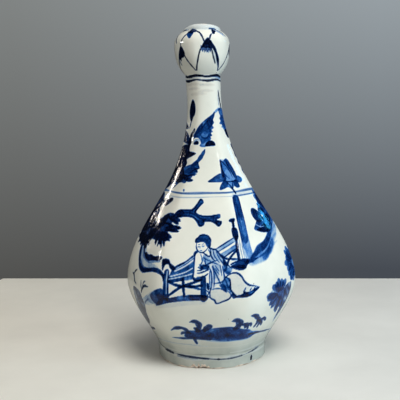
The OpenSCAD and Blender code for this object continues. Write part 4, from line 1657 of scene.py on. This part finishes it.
@dataclass
class FootRing(Section):
    """The ring that the vase stands on, with a wiped and chipped resting edge."""

    taper: float = 0.6
    bevel: float = 1.2
    edge_width: float = 4.0
    edge_start: float = 15.0
    edge_rows: int = 6
    chip_azimuth: float = -7.0
    chip_width: float = 10.0
    chip_depth: float = 1.1
    chip_slant: float = 0.7
    chip_scar: float = 2.6
    chip_least: float = 0.2
    chip_ragged: float = 1.6
    chip_grain: float = 1.7
    chip_in: float = 5.0
    chip_in_fade: float = 3.5
    chip_top: float = 3.4
    chip_top_fade: float = 2.6
    chip_floor: float = 4.5
    wipe_least: float = 0.7
    wipe_waver: float = 1.2
    wipe_grain: float = 7.0
    wipe_fade: float = 0.9

    def outside(self) -> np.ndarray:
        """Returns the heights of the rings up the outer wall."""
        return np.linspace(self.bevel, self.high, self.rows)

    def wall_ring(self, height: float, inset: float = 0.0) -> Ring:
        """Returns the ring at a height, on the outer wall or set in from it."""
        share = (height - self.bevel) / (self.high - self.bevel)
        return height, self.form.foot_r - self.taper * (1 - share) - inset, self.form.round_flat

    def back(self) -> list[Ring]:
        """Closes the wall round the resting edge.

        Returns:
            The rings over the top, down the inside and round the edge.
        """
        flat, outer, top = self.form.round_flat, self.form.foot_r - self.taper, self.high - self.half_slip
        inner = outer - 2 * self.bevel - self.edge_width
        inside = np.linspace([top, self.form.foot_r - self.wall], [self.bevel, inner], self.inner_rows)
        turn = np.radians(np.linspace(self.edge_start, 90, self.edge_rows))
        rise, draw = self.bevel * (1 - np.sin(turn)), self.bevel * (1 - np.cos(turn))
        heel = [(z, inner + d, flat) for z, d in zip(rise, draw)]
        toe = [(z, outer - d, flat) for z, d in zip(rise[::-1], draw[::-1])]
        return [*self.upper_lap(), *[(z, r, flat) for z, r in inside], *heel, *toe]

    def chip(self) -> np.ndarray:
        """Draws the ragged outline of the chip.

        Returns:
            How far it reaches at each azimuth, as a share of its usual depth.
        """
        ragged = self.chip_least + self.chip_ragged * cloud(self.azimuths / self.chip_grain, self.azimuths * 0, 5.0)
        across = (self.azimuths - self.chip_azimuth) / self.chip_width
        return ragged * np.sqrt(np.clip(1 - across**2, 0, 1))

    def shape(self, rings: np.ndarray) -> np.ndarray:
        """Breaks a shallow chip out of the resting edge.

        Args:
            rings: Points of the piece, in metres.

        Returns:
            The points with the chip.
        """
        radius, height = np.hypot(rings[..., 0], rings[..., 1]) / MM, rings[..., 2] / MM
        outer = self.form.foot_r - self.taper
        near = ease((radius - outer + self.chip_in) / self.chip_in_fade)
        near *= ease((self.chip_top - height) / self.chip_top_fade)
        deep = self.chip_depth * self.chip() * near
        chipped = rings.copy()
        chipped[..., :2] *= (1 - deep * self.chip_slant / np.maximum(radius, 1.0))[..., None]
        chipped[..., 2] = np.where(radius > outer - self.chip_floor, np.maximum(height, deep), height) * MM
        return chipped

    def bare(self, height: np.ndarray) -> np.ndarray:
        """Returns where the glaze was wiped off the resting edge or broken off with the chip."""
        line = self.wipe_least + self.wipe_waver * cloud(self.azimuths / self.wipe_grain, self.azimuths * 0, 9.0)
        return ease((line + self.chip_scar * self.chip() - height) / self.wipe_fade)


@dataclass
class SlipSeam:
    """The slip in one joint: a thin layer between two sections, with a bead squeezed out inside."""

    form: VaseForm
    node: str
    height: float
    wall: float
    skin: float = 1.0
    half: float = 0.3
    bead: float = 0.8
    bead_rows: int = 9
    columns: int = 240

    def rings(self) -> list[Ring]:
        """Shapes the layer and its bead.

        Returns:
            The rings from the outer edge over the bead and back.
        """
        radius, flat = float(self.form.ridge(self.height)), float(self.form.flat(self.height))
        turn = np.radians(np.linspace(-90, 90, self.bead_rows))
        insets = [self.skin, *(self.wall + self.bead * np.cos(turn)), self.skin]
        lifts = [-self.half, *(self.half * np.sin(turn)), self.half]
        return [
            (self.height + up, radius - inset, (radius * flat - inset) / (radius - inset))
            for inset, up in zip(insets, lifts)
        ]

    def build(self, slip: bpy.types.Material) -> bpy.types.Object:
        """Builds the seam in place of its CAD node.

        Args:
            slip: Material of the slip.

        Returns:
            The piece.
        """
        azimuths = np.linspace(-180, 180, self.columns, endpoint=False)
        rings = np.stack([self.form.ring(azimuths, *ring) for ring in self.rings()])
        piece = lathe_mesh(f"seam_{self.node}", rings[::-1], True, 2)
        piece.data.materials.append(slip)
        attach(piece, BODY)
        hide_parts(self.node)
        return piece


@dataclass
class Vase:
    """All the sections and seams of the vase, and the painting on them."""

    foot_wall: float = 9.0
    body_wall: float = 5.0
    neck_wall: float = 4.0
    head_wall: float = 4.2

    def __post_init__(self) -> None:
        """Lays out the sections between the joints, and the seams in the joints."""
        form = self.form = VaseForm()
        foot, belly, shoulder, collar = form.foot_z, form.belly_z, form.shoulder_z, form.collar_z
        self.sections: list[Section] = [
            FootRing(form, "foot_ring", "foot", 0.0, foot, self.foot_wall, rows=34, columns=480),
            LowerBody(form, "lower_body", "glaze", foot, belly, self.body_wall, rows=108, columns=620),
            Section(form, "upper_body", "glaze", belly, shoulder, self.body_wall, rows=138, columns=620),
            Section(form, "neck", "glaze", shoulder, collar, self.neck_wall, rows=190, columns=420),
            GarlicHead(form, "garlic_head", "glaze", collar, form.top, self.head_wall, rows=120, columns=400),
        ]
        self.seams = [
            SlipSeam(form, "foot_slip", foot, self.foot_wall),
            SlipSeam(form, "belly_slip", belly, self.body_wall),
            SlipSeam(form, "shoulder_slip", shoulder, self.body_wall),
            SlipSeam(form, "collar_slip", collar, self.neck_wall),
        ]

    def paint(self) -> None:
        """Paints the whole vase."""
        VasePainting(self.form, [section.canvas for section in self.sections]).paint()

    def build(self) -> None:
        """Builds every piece and reports it."""
        glaze, slip = GlazeFinish().material(), SlipFinish().material()
        dressed = [(section, glaze) for section in self.sections] + [(seam, slip) for seam in self.seams]
        for part, finish in dressed:
            piece = part.build(finish)
            LOG.info("%s: %d faces", piece.name, len(piece.data.polygons))


@dataclass(frozen=True)
class Lamp:
    """A soft box that faces the vase. The glaze shows its reflection where it is mirrored."""

    name: str
    place: Place
    size: Pair
    power: float
    colour: Colour
    mirrored: bool = True
    aim: Place = (0, 0, 0.13)

    def hang(self) -> None:
        """Hangs the lamp in the scene."""
        data = bpy.data.lights.new(self.name, "AREA")
        data.shape = "RECTANGLE"
        data.size, data.size_y = self.size
        data.energy, data.color = self.power, self.colour
        lamp = bpy.data.objects.new(self.name, data)
        lamp.rotation_euler = (Vector(self.aim) - Vector(self.place)).to_track_quat("-Z", "Y").to_euler()
        lamp.location = self.place
        lamp.visible_glossy, lamp.visible_camera = self.mirrored, False
        bpy.context.scene.collection.objects.link(lamp)


@dataclass
class Studio:
    """A pale table, a plain grey surround, soft lamps and the camera.

    Lengths are in metres and angles in degrees.
    """

    table_half: float = 0.317
    table_thick: float = 0.02
    table_edge: float = 0.006
    table_colour: Colour = (0.81, 0.785, 0.71)
    table_cool_light_tint: Colour = (0.77, 0.78, 0.765)
    table_dimming: float = 0.5
    table_roughness: float = 0.8
    low_grey: tuple[Colour, Colour] = ((0.083, 0.083, 0.079), (0.063, 0.072, 0.087))
    high_grey: tuple[Colour, Colour] = ((0.222, 0.235, 0.232), (0.32, 0.36, 0.385))
    fill: Colour = (0.125, 0.125, 0.125)
    dim_side: float = 0.03
    painted_light_span: Pair = (-0.25, 0.2)
    across_span: Pair = (-0.333, 0.116)
    rise_span: Pair = (-0.2, 0.15)
    behind_span: Pair = (0.9, 1.0)
    focal_pixels: float = 777.4
    picture_pixels: float = 400.0
    camera_distance: float = 0.685
    camera_height: float = 0.216
    camera_azimuth: float = 5.75
    camera_pitch: float = 6.435
    camera_roll: float = 1.365
    right_of_centre: float = 8.77
    lamps: tuple[Lamp, ...] = (
        Lamp("key", (0.38, -0.80, 1.35), (0.7, 0.7), 14.5, (1.0, 0.97, 0.90), mirrored=False),
        Lamp("top", (0.1, -0.35, 1.4), (0.8, 0.8), 4.5, (1.0, 0.98, 0.94), mirrored=False),
        Lamp("sky", (1.05, -0.4, 0.26), (0.6, 0.5), 6.8, (0.68, 0.89, 1.0), mirrored=False),
        Lamp("window", (0.865, 0.745, 0.50), (0.09, 0.07), 0.15, (0.05, 0.5, 1.0)),
        Lamp("strip", (-0.915, 0.732, 0.424), (0.125, 0.014), 0.1, (1.0, 0.88, 0.78)),
        Lamp("upper_strip", (-0.896, 0.753, 0.447), (0.03, 0.028), 0.05, (1.0, 0.92, 0.85)),
        Lamp("neck_strip", (-0.828, 0.868, 0.343), (0.05, 0.012), 0.022, (1.0, 0.9, 0.82)),
        Lamp("dab", (-1.0, 0.66, 0.33), (0.02, 0.03), 0.03, (1.0, 0.95, 0.9)),
        Lamp("left_glint", (-1.15, 0.06, 0.52), (0.2, 0.06), 1.2, (1.0, 1.0, 0.97)),
        Lamp("ridge_glint", (-0.97, -0.56, 0.2), (0.02, 0.16), 0.05, (1.0, 1.0, 1.0)),
        Lamp("right_glint", (0.54, -0.79, 0.92), (0.08, 0.1), 0.35, (1.0, 1.0, 1.0)),
    )

    def build(self) -> None:
        """Builds the studio and sets the scene's camera."""
        self.table()
        self.world()
        for lamp in self.lamps:
            lamp.hang()
        self.camera()
        bpy.context.scene.view_settings.view_transform = "Standard"

    def table(self) -> None:
        """Builds the table top, with softly rounded edges."""
        half, thick = self.table_half, self.table_thick
        corners = [(x * half, y * half) for x, y in ((-1, -1), (1, -1), (1, 1), (-1, 1))]
        points = [(x, y, z) for z in (-thick, 0.0) for x, y in corners]
        sides = [[i, (i + 1) % 4, (i + 1) % 4 + 4, i + 4] for i in range(4)]
        mesh = bpy.data.meshes.new("table_top")
        mesh.from_pydata(points, [], [[3, 2, 1, 0], [4, 5, 6, 7], *sides])
        mesh.materials.append(self.table_finish())
        table = bpy.data.objects.new("table_top", mesh)
        bpy.context.scene.collection.objects.link(table)
        edge = table.modifiers.new("soft_edge", "BEVEL")
        edge.width, edge.segments = self.table_edge, 4

    def table_finish(self) -> bpy.types.Material:
        """Builds the table's material.

        Returns:
            A pale material, which the glaze mirrors more dimly than it is.
        """
        graph = MaterialGraph("pale_table")
        place = graph.add("ShaderNodeSeparateXYZ", {0: graph.places}).outputs
        # Painted light: the table runs from warm on the left to cool on the right, the colour of the light falling from
        # each side.
        side = graph.spread(place["X"], *self.painted_light_span, 0, 1)
        tone = graph.spread(graph.noise(14, 4), 0.3, 0.7, 0.95, 1.03)
        colour = graph.mix(1.0, graph.mix(side, self.table_colour, self.table_cool_light_tint), tone, "MULTIPLY")
        glossy = graph.add("ShaderNodeLightPath").outputs["Is Glossy Ray"]
        dimmed = graph.mix(graph.math("MULTIPLY", glossy, self.table_dimming), colour, (0.0, 0.0, 0.0))
        graph.surface(Base_Color=dimmed, Roughness=self.table_roughness)
        return graph.material

    def world(self) -> None:
        """Sets a grey surround that lightens upwards, and an even fill light."""
        world = bpy.context.scene.world = bpy.data.worlds.new("studio")
        world.use_nodes = True
        graph = Graph(world.node_tree)
        seen_from = graph.add("ShaderNodeTexCoord").outputs["Generated"]
        towards = graph.add("ShaderNodeSeparateXYZ", {0: seen_from}).outputs
        across = graph.spread(towards["X"], *self.across_span, 0, 1)
        rise = graph.spread(towards["Z"], *self.rise_span, 0, 1)
        behind = graph.spread(towards["Y"], *self.behind_span, self.dim_side, 1)
        grey = graph.mix(rise, *(graph.mix(across, *pair) for pair in (self.low_grey, self.high_grey)))
        rays = graph.add("ShaderNodeLightPath").outputs
        level = graph.math("MAXIMUM", rays["Is Camera Ray"], behind)
        direct = graph.math("MAXIMUM", rays["Is Camera Ray"], rays["Is Glossy Ray"])
        shown = graph.math("MAXIMUM", direct, rays["Is Transmission Ray"])
        light = graph.nodes["Background"]
        graph.feed(light.inputs[0], self.fill)
        backdrop = graph.add("ShaderNodeBackground", {0: grey, 1: level})
        mixed = graph.add("ShaderNodeMixShader", {0: shown, 1: light.outputs[0], 2: backdrop.outputs[0]})
        graph.feed(graph.nodes["World Output"].inputs["Surface"], mixed.outputs[0])

    def camera(self) -> None:
        """Sets the camera at the photograph's height, angle, tilt and lens."""
        angles = self.camera_azimuth, self.camera_pitch, self.camera_roll
        around, pitch, roll = (math.radians(angle) for angle in angles)
        yaw = around + math.atan(self.right_of_centre / self.focal_pixels)
        level = math.cos(pitch)
        ahead = Vector((-math.sin(yaw) * level, math.cos(yaw) * level, -math.sin(pitch)))
        right = Vector((math.cos(yaw), math.sin(yaw), 0.0))
        up = right.cross(ahead)
        tilted = right * math.cos(roll) - up * math.sin(roll)
        upright = up * math.cos(roll) + right * math.sin(roll)
        data = bpy.data.cameras.new("photo_camera")
        data.lens = self.focal_pixels / self.picture_pixels * data.sensor_width
        data.clip_start = 0.01
        camera = bpy.data.objects.new("photo_camera", data)
        far = self.camera_distance
        place = (math.sin(around) * far, -math.cos(around) * far, self.camera_height)
        turned = Matrix((tilted, upright, -ahead)).transposed().to_4x4()
        camera.matrix_world = Matrix.Translation(place) @ turned
        bpy.context.scene.collection.objects.link(camera)
        bpy.context.scene.camera = camera


def main() -> None:
    """Builds the vase and the studio."""
    logging.basicConfig(level=logging.INFO, format="%(name)s: %(message)s")
    vase = Vase()
    vase.paint()
    vase.build()
    Studio().build()


if __name__ == "__main__":
    main()
